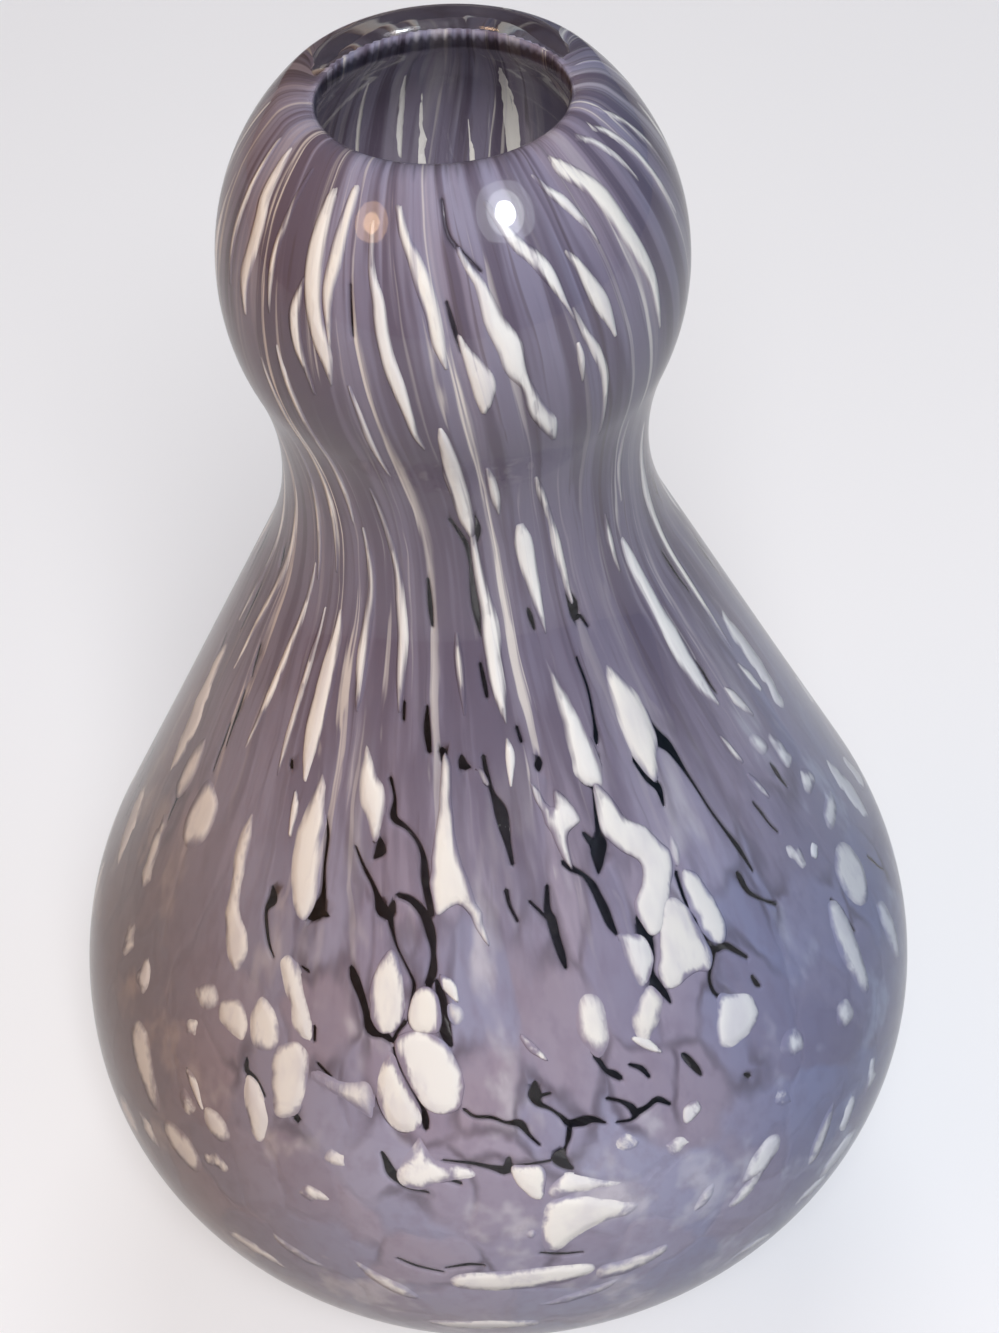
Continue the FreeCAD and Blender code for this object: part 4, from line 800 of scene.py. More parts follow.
white_cover = 0.3
white_bite = 0.35
through_bite = 0.06
white_top = casing_wall + white_cover
white_bottom = lavender_depth + white_bite
through_bottom = gather_depth + through_bite
through_height = 105
high_height = 120
stroke_margin = 0.14
stroke_fades = {True: 0.9, False: 0.7}
corner_cut = 0.22
outline_spread = 0.3
outline_fade = (1.2, 0.8)
loop_spacing = 0.6
least_loop = 10
least_knots = 5
points_per_knot = 3
outline_roughness = 0.1
soft_roughness = 0.35
hidden_roughness = {True: 0.1, False: 0.3}
hidden_fades = (0.5, 0.8, 1.2)
chip_spacing = 1.2
chip_rings = (0.14, 0.36, 0.75)
chip_ring_share = 0.8
chip_core = 1.0
drop_points = 36
drop_lobes = (2, 3, 4)
drop_unevenness = 0.16
drop_taper = 0.3
companion_share = 0.5
companion_reach = 0.75
companion_gap = 0.6
companion_drop = (0.1, 0.4)
companion_length = 0.5
companion_width = 0.6
crisp_crown = ((0.6, 0.55), (0.4, 0.6))
soft_fade = 1.15
soft_reach = 1.3
soft_floor = 0.04


def rounded_outline(outline):
    """Outline with its corners cut twice, as (azimuth, travel)."""
    loop = np.array([(azimuth, travel_at(height)) for azimuth, height in outline])
    for _ in range(2):
        following = np.roll(loop, -1, axis=0)
        cut = corner_cut * (following - loop)
        loop = np.stack([loop + cut, following - cut], 1).reshape(-1, 2)
    return loop


def spread_loop(loop, reach):
    """Closed loop moved outwards from its middle by about a reach."""
    scale = degree_at(loop[:, 1].mean())
    middle = loop.mean(0)
    size = math.sqrt(abs(loop_area(loop)) * scale / math.pi)
    return middle + (loop - middle) * (1 + reach / size)


def respaced(loop, draw, roughness):
    """Closed loop with its points a spacing apart, each moved a little by chance."""
    closed = np.vstack([loop, loop[:1]])
    scale = degree_at(closed[:, 1])
    steps = np.hypot(np.diff(closed[:, 0]) * scale[1:], np.diff(closed[:, 1]))
    along = np.concatenate([[0], np.cumsum(steps)])
    count = max(least_loop, int(along[-1] / loop_spacing))
    at = np.linspace(0, along[-1], count, endpoint=False)
    out = np.stack([np.interp(at, along, closed[:, 0]), np.interp(at, along, closed[:, 1])], 1)
    knots = max(least_knots, count // points_per_knot)
    for axis, unit in ((0, scale.mean()), (1, 1.0)):
        noise = [draw.gauss(0, roughness) for _ in range(knots)]
        noise.append(noise[0])
        out[:, axis] += np.interp(at / along[-1] * knots, np.arange(knots + 1), noise) / unit
    return out


def chip_sheet(loop):
    """Places, triangles and edge distances of one chip within its loop."""
    low, high = loop.min(0), loop.max(0)
    scale = degree_at(loop[:, 1].mean())
    step = chip_spacing / scale
    columns = np.arange(low[0], high[0], step)
    rows = np.arange(low[1], high[1], chip_spacing * row_share)
    grid = np.array([(x + (i % 2) * step / 2, y) for i, y in enumerate(rows) for x in columns])
    tangent = np.roll(loop, -1, axis=0) - np.roll(loop, 1, axis=0)
    tangent[:, 0] *= scale
    tangent /= np.maximum(np.linalg.norm(tangent, axis=1, keepdims=True), least_step)
    side = 1 if loop_area(loop) > 0 else -1
    inward = np.stack([-tangent[:, 1] / scale, tangent[:, 0]], 1) * side
    rings = [(loop + inward * margin, margin * chip_ring_share) for margin in chip_rings]
    inner = []
    for ring, apart in rings + [(grid, chip_core)]:
        if len(ring):
            ring = ring[inside_outline(ring, loop)]
        if len(ring):
            inner.append(ring[distance_to_outline(ring, loop) > apart])
    inner = [part for part in inner if len(part)] or [loop.mean(0)[None]]
    places, triangles, origins = triangulate(np.vstack(inner), [loop])
    places, triangles = only_used(places, triangles[np.array([bool(o) for o in origins])])
    return places, triangles, distance_to_outline(places, loop)


# Draws of the frame's layout for the chips of the sides and the back
draws_per_chip = 3
hidden_tries = 8
hidden_low_share = 0.8
hidden_length = (0.5, 0.6)
hidden_width_shift = 0.3
hidden_across = 0.75
hidden_along = 0.6


def hidden_whites():
    """White chips of the sides and the back, at the places that the frame has them."""
    draw = random.Random(layout_seed)
    for _ in range((len(row_marks) - 1) * chips_around * draws_per_chip):
        draw.random()
    chips = []
    for _ in range(hidden_white_count * hidden_tries):
        if len(chips) >= hidden_white_count:
            break
        azimuth = front_half_angle + draw.random() * (360 - 2 * front_half_angle)
        travel = body_travel * draw.random() ** hidden_low_share
        length = local_chip_length(travel) * (hidden_length[0] + hidden_length[1] * draw.random())
        travel = max(travel, length / 2 + chip_gap)
        travel = min(travel, body_travel - length / 2 - chip_gap)
        width = white_width + white_width_spread * (draw.random() - hidden_width_shift)
        width = width * math.sqrt(radius_at(travel) / belly_radius)
        lean = hidden_white_lean * draw.random()
        if all(stand_apart((azimuth, travel, length, width), other) for other in chips):
            chips.append((azimuth, travel, length, width, lean))
    return chips


def stand_apart(chip, other):
    radius = radius_at((chip[1] + other[1]) / 2)
    turn = (chip[0] - other[0] + 180) % 360 - 180
    across = abs(math.radians(turn)) * radius
    along = abs(chip[1] - other[1])
    beside = across > (chip[3] + other[3]) * hidden_across
    return beside or along > (chip[2] + other[2]) * hidden_along


def drop_loop(chip, draw):
    """Uneven outline of a chip that is squat below and drawn out above, as (azimuth, travel)."""
    azimuth, travel, length, width, lean = chip
    angle = np.linspace(0, 2 * math.pi, drop_points, endpoint=False)
    uneven = 1 + sum(draw.uniform(-drop_unevenness, drop_unevenness)
                     * np.cos(k * angle + draw.uniform(0, 2 * math.pi)) for k in drop_lobes)
    share = np.sin(angle) * np.minimum(uneven, 1.0)
    here = travel + share * length / 2
    half = width / 2 * np.cos(angle) * (1 - drop_taper * share) * uneven
    middle = azimuth - lean * share / 2 if lean else azimuth + swirl(here) - swirl(travel)
    return np.stack([middle + np.degrees(half / radius_at(here)), here], 1)


def companion(chip, draw):
    """A smaller chip that lies just below and to one side of another."""
    azimuth, travel, length, width, lean = chip
    side = draw.choice((-1, 1))
    turn = math.degrees(side * (width * companion_reach + companion_gap) / float(radius_at(travel)))
    below = travel - length * draw.uniform(*companion_drop)
    return azimuth + turn, below, length * companion_length, width * companion_width, lean


def white_loops(draw):
    """Every white chip as (outline, fade, whether it goes through the coat)."""
    chips = []
    for stroke in white_strokes:
        height = stroke[len(stroke) // 2][1]
        loop = stroke_outline(stroke_line(stroke), stroke_margin, draw)
        chips.append((loop, stroke_fades[height > high_height], height > through_height))
    for fade, outline in white_outlines:
        loop = spread_loop(rounded_outline(outline), outline_spread)
        loop = respaced(loop, draw, outline_roughness)
        chips.append((loop, fade * outline_fade[0] + outline_fade[1], False))
    for azimuth, height, length, width, lean, fade in soft_whites:
        chip = (azimuth, float(travel_at(height)), length, width, lean)
        chips.append((respaced(drop_loop(chip, draw), draw, soft_roughness), fade, False))
    hidden = hidden_whites()
    hidden += [companion(chip, draw) for chip in hidden
               if chip[1] < cone_start and draw.random() < companion_share]
    for chip in hidden:
        fade = draw.choice(hidden_fades)
        through = float(np.interp(chip[1], travel_table, height_table)) >= through_height
        loop = respaced(drop_loop(chip, draw), draw, hidden_roughness[through])
        chips.append((loop, fade, through))
    return chips


def crown_of(distance, fade):
    """Shares of the full thickness over a chip. A soft chip rises slowly out of the coat."""
    if fade > soft_fade:
        rise = np.clip(distance / soft_reach, soft_floor, 1)
        return rise ** 2 * (3 - 2 * rise)
    (rim_share, rim_reach), (top_share, least_reach) = crisp_crown
    top_reach = max(least_reach, distance.max())
    return rim_share * rounded(distance, rim_reach) + top_share * rounded(distance, top_reach)


def build_whites(material):
    draw = random.Random(layout_seed + 2)
    points, faces, values = [], [], {"flow": [], "edge": [], "fade": [], "tone": []}
    base = 0
    for loop, fade, through in white_loops(draw):
        places, triangles, distance = chip_sheet(loop)
        if len(triangles) == 0:
            continue
        bottom = through_bottom if through else white_bottom
        crown = crown_of(distance, fade)
        chip_points, chip_faces, source = closed_sheet(places, triangles, white_top, bottom, crown)
        points.append(chip_points)
        faces.append(chip_faces + base)
        base += len(chip_points)
        values["flow"].append(flow_of(places[source, 0], places[source, 1]))
        values["edge"].append(distance[source])
        values["fade"].append(np.full(len(source), fade))
        values["tone"].append(np.full(len(source), draw.random()))
    values = {name: np.concatenate(parts) for name, parts in values.items()}
    return make_piece("white_chips", np.vstack(points), np.vstack(faces).tolist(), values, material)


# Clear glass: the whole wall as one turned mesh

pontil_steps = 8
foot_steps = 6
corner_steps = 6
outer_steps = 190
lip_steps = 22
inner_steps = 150
bottom_steps = 24
floor_steps = 12
foot_corner = 1.6
corner_travel = 1.9
pole_offset = 0.1
corner_pole = (foot_radius + pole_offset, pole_offset)
turned_steps = 168
# Unevenness of the blown surface, always inwards, with its waves as (times round, rise of one
# radian)
sink_depth = 0.16
sink_middle = 0.5
sink_swing = 0.25
sink_waves = ((2, 23), (5, -11))
sink_span = (14, 192)


def glass_profile():
    """Half section of the clear glass, from the axis under the foot round to the axis inside."""
    line = []
    bend = (pontil_radius ** 2 + pontil_depth ** 2) / (2 * pontil_depth)
    for i in range(pontil_steps):
        across = pontil_radius * i / pontil_steps
        line.append((across, pontil_depth - (bend - math.sqrt(bend ** 2 - across ** 2))))
    foot_edge = foot_radius - foot_corner
    ring_width = foot_edge - pontil_radius
    line += [(pontil_radius + ring_width * i / foot_steps, 0.0) for i in range(foot_steps + 1)]
    corner = body_points(np.array([corner_travel]), 0.0)
    first, last = np.array([foot_edge, 0.0]), np.array([corner[0][0], corner[1][0]])
    pole = np.array(corner_pole)
    for i in range(1, corner_steps):
        t = i / corner_steps
        line.append(tuple((1 - t) ** 2 * first + 2 * t * (1 - t) * pole + t ** 2 * last))
    lip_turn = np.linspace(0, math.pi * lip_radius, lip_steps)[1:-1] + body_travel
    outside = np.linspace(corner_travel, body_travel, outer_steps)
    inside = np.linspace(body_travel, belly_travel, inner_steps)
    for travel, depth in ((outside, 0.0), (lip_turn, 0.0), (inside, body_wall)):
        radius, height = body_points(travel, depth)
        line += list(zip(radius, height))
    bend = belly_height - base_thickness
    centre_radius = belly_radius - body_wall - bend
    for i in range(1, bottom_steps + 1):
        angle = math.pi / 2 * i / bottom_steps
        line.append((centre_radius + bend * math.cos(angle), belly_height - bend * math.sin(angle)))
    for i in range(1, floor_steps + 1):
        line.append((centre_radius * (1 - i / floor_steps), base_thickness))
    return line


def build_glass(material):
    line = glass_profile()
    angle = np.arange(turned_steps) * 2 * math.pi / turned_steps
    points = [(0.0, 0.0, line[0][1])]
    for radius, height in line[1:-1]:
        waves = sum(np.sin(times * angle + height / rise) for times, rise in sink_waves)
        wave = sink_middle + sink_swing * waves
        here = radius - sink_depth * wave * (1.0 if sink_span[0] < height < sink_span[1] else 0.0)
        level = np.full(turned_steps, height)
        points += list(zip(here * np.sin(angle), -here * np.cos(angle), level))
    points.append((0.0, 0.0, line[-1][1]))
    rings = len(line) - 2
    faces = []
    for i in range(turned_steps):
        j = (i + 1) % turned_steps
        top = 1 + (rings - 1) * turned_steps
        faces.append((0, 1 + j, 1 + i))
        faces.append((len(points) - 1, top + i, top + j))
    for ring in range(rings - 1):
        low, high = 1 + ring * turned_steps, 1 + (ring + 1) * turned_steps
        for i in range(turned_steps):
            j = (i + 1) % turned_steps
            faces.append((low + i, low + j, high + j, high + i))
    return make_piece("clear_glass", np.array(points), faces, {}, material)


# Materials. Colours are linear, and a ramp is written as where it starts and where it is full.

# Sockets of a mix node, as (factor, first, second)
colour_sockets = (0, 6, 7)
float_sockets = (0, 2, 3)

# Noises over the flow of the glass, as (flow or bent flow, scales, detail, roughness)
tone_noises = {
    "patch": ("flow", (0.25, 0.25, 0.25), 3.0, 0.5),
    "veil": ("flow", (0.75, 0.75, 0.75), 3.0, 0.6),
    "fine": ("flow", (3.2, 3.2, 3.2), 3.0, 0.6),
    "bunch": ("flow", (0.45, 0.45, 0.12), 2.0, 0.5),
    "cloud": ("flow", (1.6, 1.6, 1.6), 3.0, 0.5),
    "streak": ("bent", (0.95, 0.95, 0.16), 3.0, 0.55),
    "thread": ("bent", (3.2, 3.2, 0.2), 2.0, 0.5),
    "pebbly": ("bent", (2.5, 2.5, 1.8), 4.0, 0.65),
    "streaky": ("bent", (4.2, 4.2, 0.45), 3.0, 0.6),
}

# Layers of the lavender glass, one of them painted shade, as (colour, what it follows, its ramp,
# its strength, where it is kept to)
tone_layers = [
    ((0.47, 0.43, 0.54, 1), "light_cell", (0.25, 0.85), 0.28, None),
    ((0.215, 0.18, 0.265, 1), "deep_cell", (0.45, 0.95), 0.35, None),
    ((0.64, 0.605, 0.65, 1), "veil", (0.54, 0.68), 0.7, None),
    ((0.24, 0.19, 0.26, 1), "fine", (0.42, 0.72), 0.34, None),
    # Painted shade: darkens the lavender towards the upright waist
    ((0.18, 0.155, 0.215, 1), "shade_from_waist", (2.0, 0.3), 0.9, None),
    ((0.115, 0.09, 0.13, 1), "streak", (0.46, 0.58), 0.85, "drawn"),
    ((0.60, 0.54, 0.57, 1), "streak", (0.43, 0.28), 0.35, "drawn"),
    ((0.80, 0.745, 0.69, 1), "thread", (0.57, 0.70), 1.0, "bunched"),
    ((0.09, 0.065, 0.07, 1), "thread", (0.38, 0.30), 0.45, "drawn"),
]
warm_lavender = (0.365, 0.300, 0.365, 1)
cool_lavender = (0.330, 0.325, 0.450, 1)
cell_share = 0.4
patch_share = 0.9
cool_ramp = (0.36, 0.82)
drawn_ramp = (9.5, 13.0)
bunch_ramp = (0.44, 0.60)
bunch_floor = 0.15
bunch_gain = 0.8
bend_scale = 0.9
bend_detail = 3.0
noise_middle = (0.5, 0.5, 0.5)
pebble_scale = 0.85
pebble_smoothness = 0.35

# Painted light: the glass is shaded brown to the left and blue to the right, as warm and cool light
# from the sides would do, most of all in the belly. Ramps in metres
no_tint = (1.0, 1.0, 1.0, 1)
painted_left_light_ramp = (-0.004, -0.058)
painted_right_light_ramp = (0.006, 0.060)
painted_light_neck_ramp = (0.075, 0.125)
painted_left_light_tints = ((0.50, 0.355, 0.25, 1), (0.98, 0.70, 0.50, 1))
painted_right_light_tints = ((0.43, 0.53, 0.74, 1), (0.88, 0.93, 1.0, 1))
white_painted_light_strength = 0.6

# Painted shade along the borders of the pebbles, darkest near the gaps, and round the rims of the
# gaps. Ramps in flow units and in millimetres
crease_shade_colour = (0.09, 0.07, 0.095, 1)
crease_ramp = (0.11, 0.0)
crease_shade_floor = 0.05
crease_shade_gain = 0.6
near_gap_shade_ramp = (6.0, 0.6)
gap_rim_shade_colour = (0.12, 0.10, 0.13, 1)
gap_rim_shade_ramp = (0.45, 0.0)
gap_rim_shade_strength = 0.55

# White glass, as it wears away towards its edge
warm_white = (0.92, 0.875, 0.80, 1)
cool_white = (0.915, 0.895, 0.86, 1)
white_layers = [
    ((0.64, 0.60, 0.65, 1), "cloud", (0.45, 0.72), 0.42),
    ((0.66, 0.62, 0.66, 1), "feather", (0.48, 0.30), 0.4),
]
feather_middle = 0.46
feather_wear = 3.6
cloud_middle = 0.5
cloud_wear = 3.0
drawn_calm = 0.6
fade_ramp = (0.1, 1.0)
round_ramp = (0.0, 1.6)
cloud_relief = 0.6

# (strength of the relief, share of light let through)
lavender_body = (0.16, 0.07)
white_body = (0.3, 0.05)
relief_height = 0.0006
chip_roughness = 0.55
chip_gloss = 0.12

glass_ior = 1.5
glass_colour = (0.97, 0.965, 0.96, 1)
glass_shade = (0.95, 0.945, 0.94, 1)
glass_roughness = (0.008, 0.05)
smear_scale = 38.0
smear_detail = 3.0
smear_span = (0.35, 0.75)
wave_stretch = (45.0, 45.0, 20.25)
wave_detail = 1.0
wave_relief = 0.06
wave_height = 0.001
coat_share = 0.35
coat_roughness = 0.2

floor_grain = (3.0, 3.0)
floor_tones = ((0.90, 0.90, 0.905, 1), (0.875, 0.875, 0.88, 1))
floor_bounce = (0.36, 0.35, 0.35, 1)
mirror_ramp = (1.25, 0.3)
mirror_share = 0.4
floor_roughness = 0.7
floor_gloss = 0.2


class Nodes:
    """Short calls for building a node tree."""

    def __init__(self, owner, output="ShaderNodeOutputMaterial"):
        self.owner = owner
        owner.use_nodes = True
        self.tree = owner.node_tree
        self.tree.nodes.clear()
        self.output = self.add(output)

    def add(self, kind, settings=None, **inputs):
        node = self.tree.nodes.new(kind)
        for key, value in (settings or {}).items():
            setattr(node, key, value)
        for key, value in inputs.items():
            self.put(node.inputs[key.replace("_", " ")], value)
        return node

    def put(self, socket, value):
        if isinstance(value, bpy.types.NodeSocket):
            self.tree.links.new(value, socket)
        else:
            socket.default_value = value

    def filled(self, kind, settings, *values):
        """Node with its first inputs filled in order."""
        node = self.add(kind, settings)
        for socket, value in zip(node.inputs, values):
            self.put(socket, value)
        return node

    def math(self, operation, *values):
        return self.filled("ShaderNodeMath", {"operation": operation}, *values).outputs[0]

    def plus(self, first, second):
        return self.math("ADD", first, second)

    def minus(self, first, second):
        return self.math("SUBTRACT", first, second)

    def times(self, first, second):
        return self.math("MULTIPLY", first, second)

    def vector(self, operation, *values):
        return self.filled("ShaderNodeVectorMath", {"operation": operation}, *values)

    def blend(self, factor, first, second, how="MIX"):
        settings = {"data_type": "RGBA", "blend_type": how, "clamp_factor": True}
        node = self.add("ShaderNodeMix", settings)
        for socket, value in zip(colour_sockets, (factor, first, second)):
            self.put(node.inputs[socket], value)
        return node.outputs[2]

    def ramp(self, value, span):
        node = self.add("ShaderNodeMapRange", {"interpolation_type": "SMOOTHSTEP"}, Value=value,
                        From_Min=span[0], From_Max=span[1])
        return node.outputs["Result"]

    def layer(self, under, over, value, span, strength, mask=None):
        """A colour laid over another one where a value comes up its ramp."""
        share = self.times(self.ramp(value, span), strength)
        if mask:
            share = self.times(share, mask)
        return self.blend(share, under, over)

    def noise(self, vector, scale, detail, roughness=0.5, output="Fac"):
        if isinstance(scale, tuple):
            mapping = self.add("ShaderNodeMapping", {"vector_type": "POINT"}, Vector=vector,
                               Scale=scale)
            vector, scale = mapping.outputs["Vector"], 1.0
        node = self.add("ShaderNodeTexNoise", Vector=vector, Scale=scale, Detail=detail,
                        Roughness=roughness)
        return node.outputs[output]

    def attribute(self, name, output="Fac"):
        return self.add("ShaderNodeAttribute", {"attribute_name": name}).outputs[output]

    def place(self):
        return self.add("ShaderNodeNewGeometry").outputs["Position"]

    def ray(self, kind):
        return self.add("ShaderNodeLightPath").outputs[f"Is {kind} Ray"]

    def mix(self, factor, first, second):
        return self.filled("ShaderNodeMixShader", {}, factor, first.outputs[0], second.outputs[0])

    def show(self, shader):
        self.tree.links.new(shader.outputs[0], self.output.inputs["Surface"])
        return self.owner


# Painted light: darkens a colour and tints it warm on the left and cool on the right, less in the
# neck
def painted_side_light(nodes, colour, strength):
    split = nodes.add("ShaderNodeSeparateXYZ", Vector=nodes.place()).outputs
    neck = nodes.ramp(split["Z"], painted_light_neck_ramp)
    tint = no_tint
    for span, tints in ((painted_left_light_ramp, painted_left_light_tints), (painted_right_light_ramp, painted_right_light_tints)):
        tint = nodes.blend(nodes.ramp(split["X"], span), tint, nodes.blend(neck, *tints))
    return nodes.blend(strength, colour, tint, "MULTIPLY")


class GlassTone:
    """Colour of the lavender glass: patches, pebbles, drawn streaks, and painted shade at the
    waist.
    """

    def __init__(self, nodes):
        self.nodes = nodes
        flow = nodes.attribute("flow", "Vector")
        shift = nodes.noise(flow, bend_scale, bend_detail, output="Color")
        shift = nodes.vector("SUBTRACT", shift, noise_middle).outputs[0]
        self.flows = {"flow": flow, "bent": nodes.vector("ADD", flow, shift).outputs[0]}
        along = nodes.add("ShaderNodeSeparateXYZ", Vector=flow).outputs["Z"]
        self.drawn = nodes.ramp(along, drawn_ramp)
        cells = self.pebbles("SMOOTH_F1", Smoothness=pebble_smoothness)
        cell = nodes.add("ShaderNodeSeparateColor", Color=cells.outputs["Color"]).outputs
        follows = {name: self.noise(name) for name in ("veil", "fine", "streak", "thread")}
        follows["light_cell"] = cell[1]
        follows["deep_cell"] = cell[2]
        # Painted shade of the waist follows the distance in rows from the waist
        follows["shade_from_waist"] = nodes.math("ABSOLUTE", nodes.minus(along, waist_place))
        cool = nodes.plus(nodes.times(cell[0], cell_share),
                          nodes.times(self.noise("patch"), patch_share))
        colour = nodes.blend(nodes.ramp(cool, cool_ramp), warm_lavender, cool_lavender)
        bunch = nodes.times(nodes.ramp(self.noise("bunch"), bunch_ramp), bunch_gain)
        bunched = nodes.times(self.drawn, nodes.plus(bunch_floor, bunch))
        kept = {"drawn": self.drawn, "bunched": bunched, None: None}
        for over, source, span, strength, where in tone_layers:
            colour = nodes.layer(colour, over, follows[source], span, strength, kept[where])
        self.colour = colour

    def noise(self, name):
        flow, scale, detail, roughness = tone_noises[name]
        return self.nodes.noise(self.flows[flow], scale, detail, roughness)

    def pebbles(self, feature, **inputs):
        return self.nodes.add("ShaderNodeTexVoronoi", {"feature": feature},
                              Vector=self.flows["bent"], Scale=pebble_scale, **inputs)


def glass_chip(nodes, colour, height, body):
    """Glass inside the clear glass, with hardly any gloss and a little light let through."""
    strength, through = body
    bump = nodes.add("ShaderNodeBump", Strength=strength, Distance=relief_height, Height=height)
    shader = nodes.add("ShaderNodeBsdfPrincipled", Roughness=chip_roughness,
                       Specular_IOR_Level=chip_gloss, Base_Color=colour,
                       Normal=bump.outputs["Normal"])
    glow = nodes.add("ShaderNodeBsdfTranslucent", Color=colour)
    return nodes.show(nodes.mix(through, shader, glow))


def lavender_material():
    nodes = Nodes(bpy.data.materials.new("lavender_glass"))
    tone = GlassTone(nodes)
    edge = nodes.attribute("edge")
    border = tone.pebbles("DISTANCE_TO_EDGE").outputs["Distance"]
    faint = nodes.minus(1.0, tone.drawn)
    # Painted shade: the pebble borders darken, most near the gaps, and the coat darkens round each
    # gap's rim
    depth = nodes.plus(crease_shade_floor, nodes.times(nodes.ramp(edge, near_gap_shade_ramp), crease_shade_gain))
    crease = nodes.ramp(border, crease_ramp)
    colour = nodes.blend(nodes.times(crease, nodes.times(faint, depth)), tone.colour, crease_shade_colour)
    colour = nodes.layer(colour, gap_rim_shade_colour, edge, gap_rim_shade_ramp, gap_rim_shade_strength)
    height = nodes.times(nodes.minus(1.0, crease), faint)
    # The lavender gets the full painted side light
    return glass_chip(nodes, painted_side_light(nodes, colour, 1.0), height, lavender_body)


def white_material():
    nodes = Nodes(bpy.data.materials.new("white_glass"))
    tone = GlassTone(nodes)
    edge = nodes.attribute("edge")
    cloud = tone.noise("cloud")
    mixed = nodes.add("ShaderNodeMix")
    parts = (tone.drawn, tone.noise("pebbly"), tone.noise("streaky"))
    for socket, value in zip(float_sockets, parts):
        nodes.put(mixed.inputs[socket], value)
    feather = mixed.outputs[0]
    follows = {"cloud": cloud, "feather": feather}
    white = nodes.blend(nodes.attribute("tone"), warm_white, cool_white)
    for over, source, span, strength in white_layers:
        white = nodes.layer(white, over, follows[source], span, strength)
    worn = nodes.plus(nodes.times(nodes.minus(feather, feather_middle), feather_wear),
                      nodes.times(nodes.minus(cloud, cloud_middle), cloud_wear))
    worn = nodes.times(worn, nodes.minus(1.0, nodes.times(tone.drawn, drawn_calm)))
    left = nodes.math("DIVIDE", nodes.plus(edge, worn), nodes.attribute("fade"))
    fade = nodes.ramp(left, fade_ramp)
    # Painted side light: full on the coat beneath a white chip, weaker on the white itself
    under = painted_side_light(nodes, tone.colour, 1.0)
    colour = nodes.blend(fade, under, painted_side_light(nodes, white, white_painted_light_strength))
    height = nodes.plus(nodes.ramp(edge, round_ramp), nodes.times(cloud, cloud_relief))
    return glass_chip(nodes, colour, height, white_body)


def clear_material():
    """Clear blown glass. Rays from lamps pass straight through it to the chips inside."""
    nodes = Nodes(bpy.data.materials.new("clear_glass"))
    waves = nodes.noise(nodes.place(), wave_stretch, wave_detail)
    bump = nodes.add("ShaderNodeBump", Strength=wave_relief, Distance=wave_height, Height=waves)
    smear = nodes.noise(nodes.place(), smear_scale, smear_detail)
    rough = nodes.add("ShaderNodeMapRange", Value=smear, From_Min=smear_span[0],
                      From_Max=smear_span[1], To_Min=glass_roughness[0], To_Max=glass_roughness[1])
    glass = nodes.add("ShaderNodeBsdfPrincipled", IOR=glass_ior, Base_Color=glass_colour,
                      Transmission_Weight=1.0, Coat_Weight=coat_share,
                      Coat_Roughness=coat_roughness, Roughness=rough.outputs["Result"],
                      Normal=bump.outputs["Normal"])
    through = nodes.add("ShaderNodeBsdfTransparent", Color=glass_shade)
    lamp_ray = nodes.math("MAXIMUM", nodes.ray("Shadow"), nodes.ray("Diffuse"))
    return nodes.show(nodes.mix(lamp_ray, glass, through))


def floor_material():
    """Pale for the camera and through glass, partly so in reflections nearby, else duller."""
    nodes = Nodes(bpy.data.materials.new("pale_floor"))
    scale, detail = floor_grain
    pale = nodes.blend(nodes.noise(nodes.place(), scale, detail), *floor_tones)
    away = nodes.vector("LENGTH", nodes.place()).outputs["Value"]
    close = nodes.times(nodes.ramp(away, mirror_ramp), mirror_share)
    seen = nodes.math("MAXIMUM", nodes.ray("Camera"), nodes.times(nodes.ray("Glossy"), close))
    seen = nodes.math("MAXIMUM", seen, nodes.ray("Transmission"))
    colour = nodes.blend(seen, floor_bounce, pale)
    shader = nodes.add("ShaderNodeBsdfPrincipled", Roughness=floor_roughness,
                       Specular_IOR_Level=floor_gloss, Base_Color=colour)
    return nodes.show(shader)


# Camera, floor and light, in metres

camera_elevation = 43.0
camera_roll = -3.37
camera_distance = 0.420
camera_target = (0.00286, 0.0, 0.102)
photo_height_pixels = 1333.0
focal_pixels = 2881.0
sensor_height = 36.0
clip_start = 0.01
floor_reach = 1.3
floor_sides = 96
floor_drop = 0.0002

surround_strength = 0.18
surround_span = (-0.8, 0.8)
surround_colours = ((1.0, 0.55, 0.26, 1), (0.36, 0.63, 1.0, 1))
backdrop_colour = (0.80, 0.80, 0.815, 1)

# Softboxes, as (name, place, size, power, colour)
softbox_aim = (0.0, 0.0, 0.10)
softboxes = [
    ("front_softbox", (0.10, -1.35, 1.75), 0.9, 49.0, (0.975, 0.98, 1.0)),
    ("warm_side", (-1.2, -0.3, 0.3), 0.7, 2.3, (1.0, 0.50, 0.20)),
    ("cool_side", (1.2, -0.1, 0.5), 0.9, 1.6, (0.40, 0.68, 1.0)),
    ("back_softbox", (0.2, 1.3, 1.5), 1.0, 7.0, (0.96, 0.98, 1.0)),
]

# Highlights on the outer surface, as (azimuth, height, and the lamp's distance, size, power and
# colour)
highlights = [
    (16.7, 195.8, 0.9, 0.16, 1.7, (0.93, 0.96, 1.0)),
    (16.7, 195.8, 0.91, 0.30, 0.8, (0.93, 0.96, 1.0)),
    (16.7, 195.8, 0.92, 0.48, 1.1, (0.90, 0.95, 1.0)),
    (-22.7, 195.2, 0.9, 0.13, 0.3, (1.0, 0.66, 0.38)),
    (-22.7, 195.2, 0.91, 0.27, 0.7, (1.0, 0.62, 0.34)),
]
slope_step = 0.5


def add_object(name, data):
    thing = bpy.data.objects.new(name, data)
    bpy.context.scene.collection.objects.link(thing)
    return thing


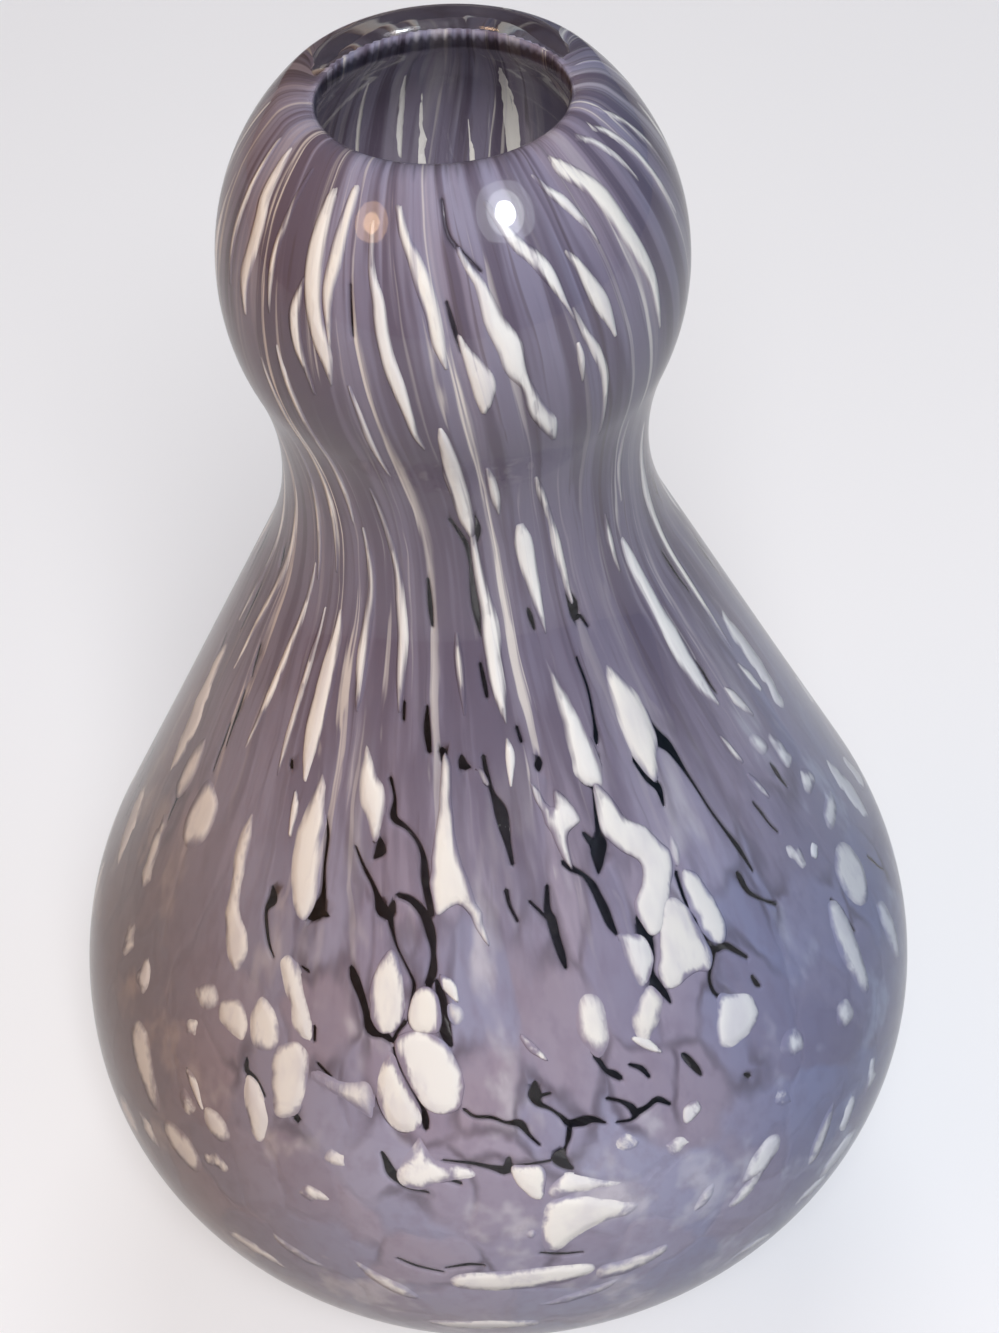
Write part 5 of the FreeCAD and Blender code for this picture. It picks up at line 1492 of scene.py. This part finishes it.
def make_camera():
    """Camera at the photograph's height, tilt and distance."""
    elevation = math.radians(camera_elevation)
    roll = math.radians(camera_roll)
    forward = Vector((0.0, math.cos(elevation), -math.sin(elevation)))
    right = Vector((1.0, 0.0, 0.0))
    up = right.cross(forward)
    across = right * math.cos(roll) + up * math.sin(roll)
    upward = -right * math.sin(roll) + up * math.cos(roll)
    data = bpy.data.cameras.new("camera")
    data.sensor_fit = "VERTICAL"
    data.sensor_height = sensor_height
    data.lens = focal_pixels / photo_height_pixels * data.sensor_height
    data.clip_start = clip_start
    camera = add_object("camera", data)
    place = Vector(camera_target) - forward * camera_distance
    rows = Matrix((across, upward, -forward)).transposed().to_4x4()
    camera.matrix_world = Matrix.Translation(place) @ rows
    bpy.context.scene.camera = camera


def make_lamp(name, place, aim, size, power, colour, shape="SQUARE"):
    data = bpy.data.lights.new(name, "AREA")
    data.shape = shape
    data.size = size
    data.energy = power
    data.color = colour
    lamp = add_object(name, data)
    lamp.location = place
    lamp.rotation_euler = (Vector(aim) - Vector(place)).to_track_quat("-Z", "Y").to_euler()
    return lamp


def make_floor():
    """Round pale table top."""
    ring = [2 * math.pi * i / floor_sides for i in range(floor_sides)]
    mesh = bpy.data.meshes.new("floor")
    rim = [(floor_reach * math.cos(a), floor_reach * math.sin(a), 0) for a in ring]
    mesh.from_pydata(rim, [], [list(range(floor_sides))])
    mesh.materials.append(floor_material())
    floor = add_object("floor", mesh)
    floor.location = (0.0, 0.0, -floor_drop)


def make_world():
    """Soft surroundings, warm to the left and cool to the right, with a pale backdrop."""
    world = bpy.data.worlds.new("world")
    bpy.context.scene.world = world
    nodes = Nodes(world, "ShaderNodeOutputWorld")
    toward = nodes.add("ShaderNodeTexCoord").outputs["Generated"]
    across = nodes.add("ShaderNodeSeparateXYZ", Vector=toward)
    side = nodes.add("ShaderNodeMapRange", Value=across.outputs["X"], From_Min=surround_span[0],
                     From_Max=surround_span[1])
    colour = nodes.blend(side.outputs["Result"], *surround_colours)
    surround = nodes.add("ShaderNodeBackground", Color=colour, Strength=surround_strength)
    backdrop = nodes.add("ShaderNodeBackground", Color=backdrop_colour)
    nodes.show(nodes.mix(nodes.ray("Camera"), surround, backdrop))


def outward_normal(height):
    """Outward and upward parts of the outer surface's normal at a height, and its radius."""
    travel = float(travel_at(height))
    radius, level = body_points(np.array([travel - slope_step, travel + slope_step]), 0.0)
    slope = np.array([radius[1] - radius[0], level[1] - level[0]])
    slope /= np.linalg.norm(slope)
    return slope[1], -slope[0], float(radius.mean())


def make_highlights():
    """Small lamps for reflections only, each where the outer surface shows it to the camera."""
    eye = bpy.context.scene.camera.matrix_world.translation
    for index, (azimuth, height, distance, size, power, colour) in enumerate(highlights):
        across, upward, radius = outward_normal(height)
        angle = math.radians(azimuth)
        point = Vector((radius * math.sin(angle), -radius * math.cos(angle), height)) / per_metre
        normal = Vector((across * math.sin(angle), -across * math.cos(angle), upward))
        view = (eye - point).normalized()
        direction = 2 * view.dot(normal) * normal - view
        place = point + direction * distance
        lamp = make_lamp(f"highlight_{index}", place, point, size, power, colour, "DISK")
        lamp.visible_diffuse = False


def make_light():
    for name, place, size, power, colour in softboxes:
        make_lamp(name, place, softbox_aim, size, power, colour).visible_glossy = False
    make_highlights()


make_camera()
make_floor()
make_world()
make_light()

glass = build_glass(clear_material())
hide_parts("outer_casing", "inner_gather")

lavender = build_lavender(lavender_material())
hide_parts("lavender_chips_lower_belly", "lavender_chips_upper_belly", "lavender_chips_shoulder",
            "lavender_streaks_waist", "lavender_streaks_bulb")

whites = build_whites(white_material())
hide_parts("white_streaks_bulb", "white_streaks_waist", "white_chips_shoulder",
            "white_chips_upper_belly", "white_chips_lower_belly")

bpy.context.scene.view_settings.view_transform = "Standard"
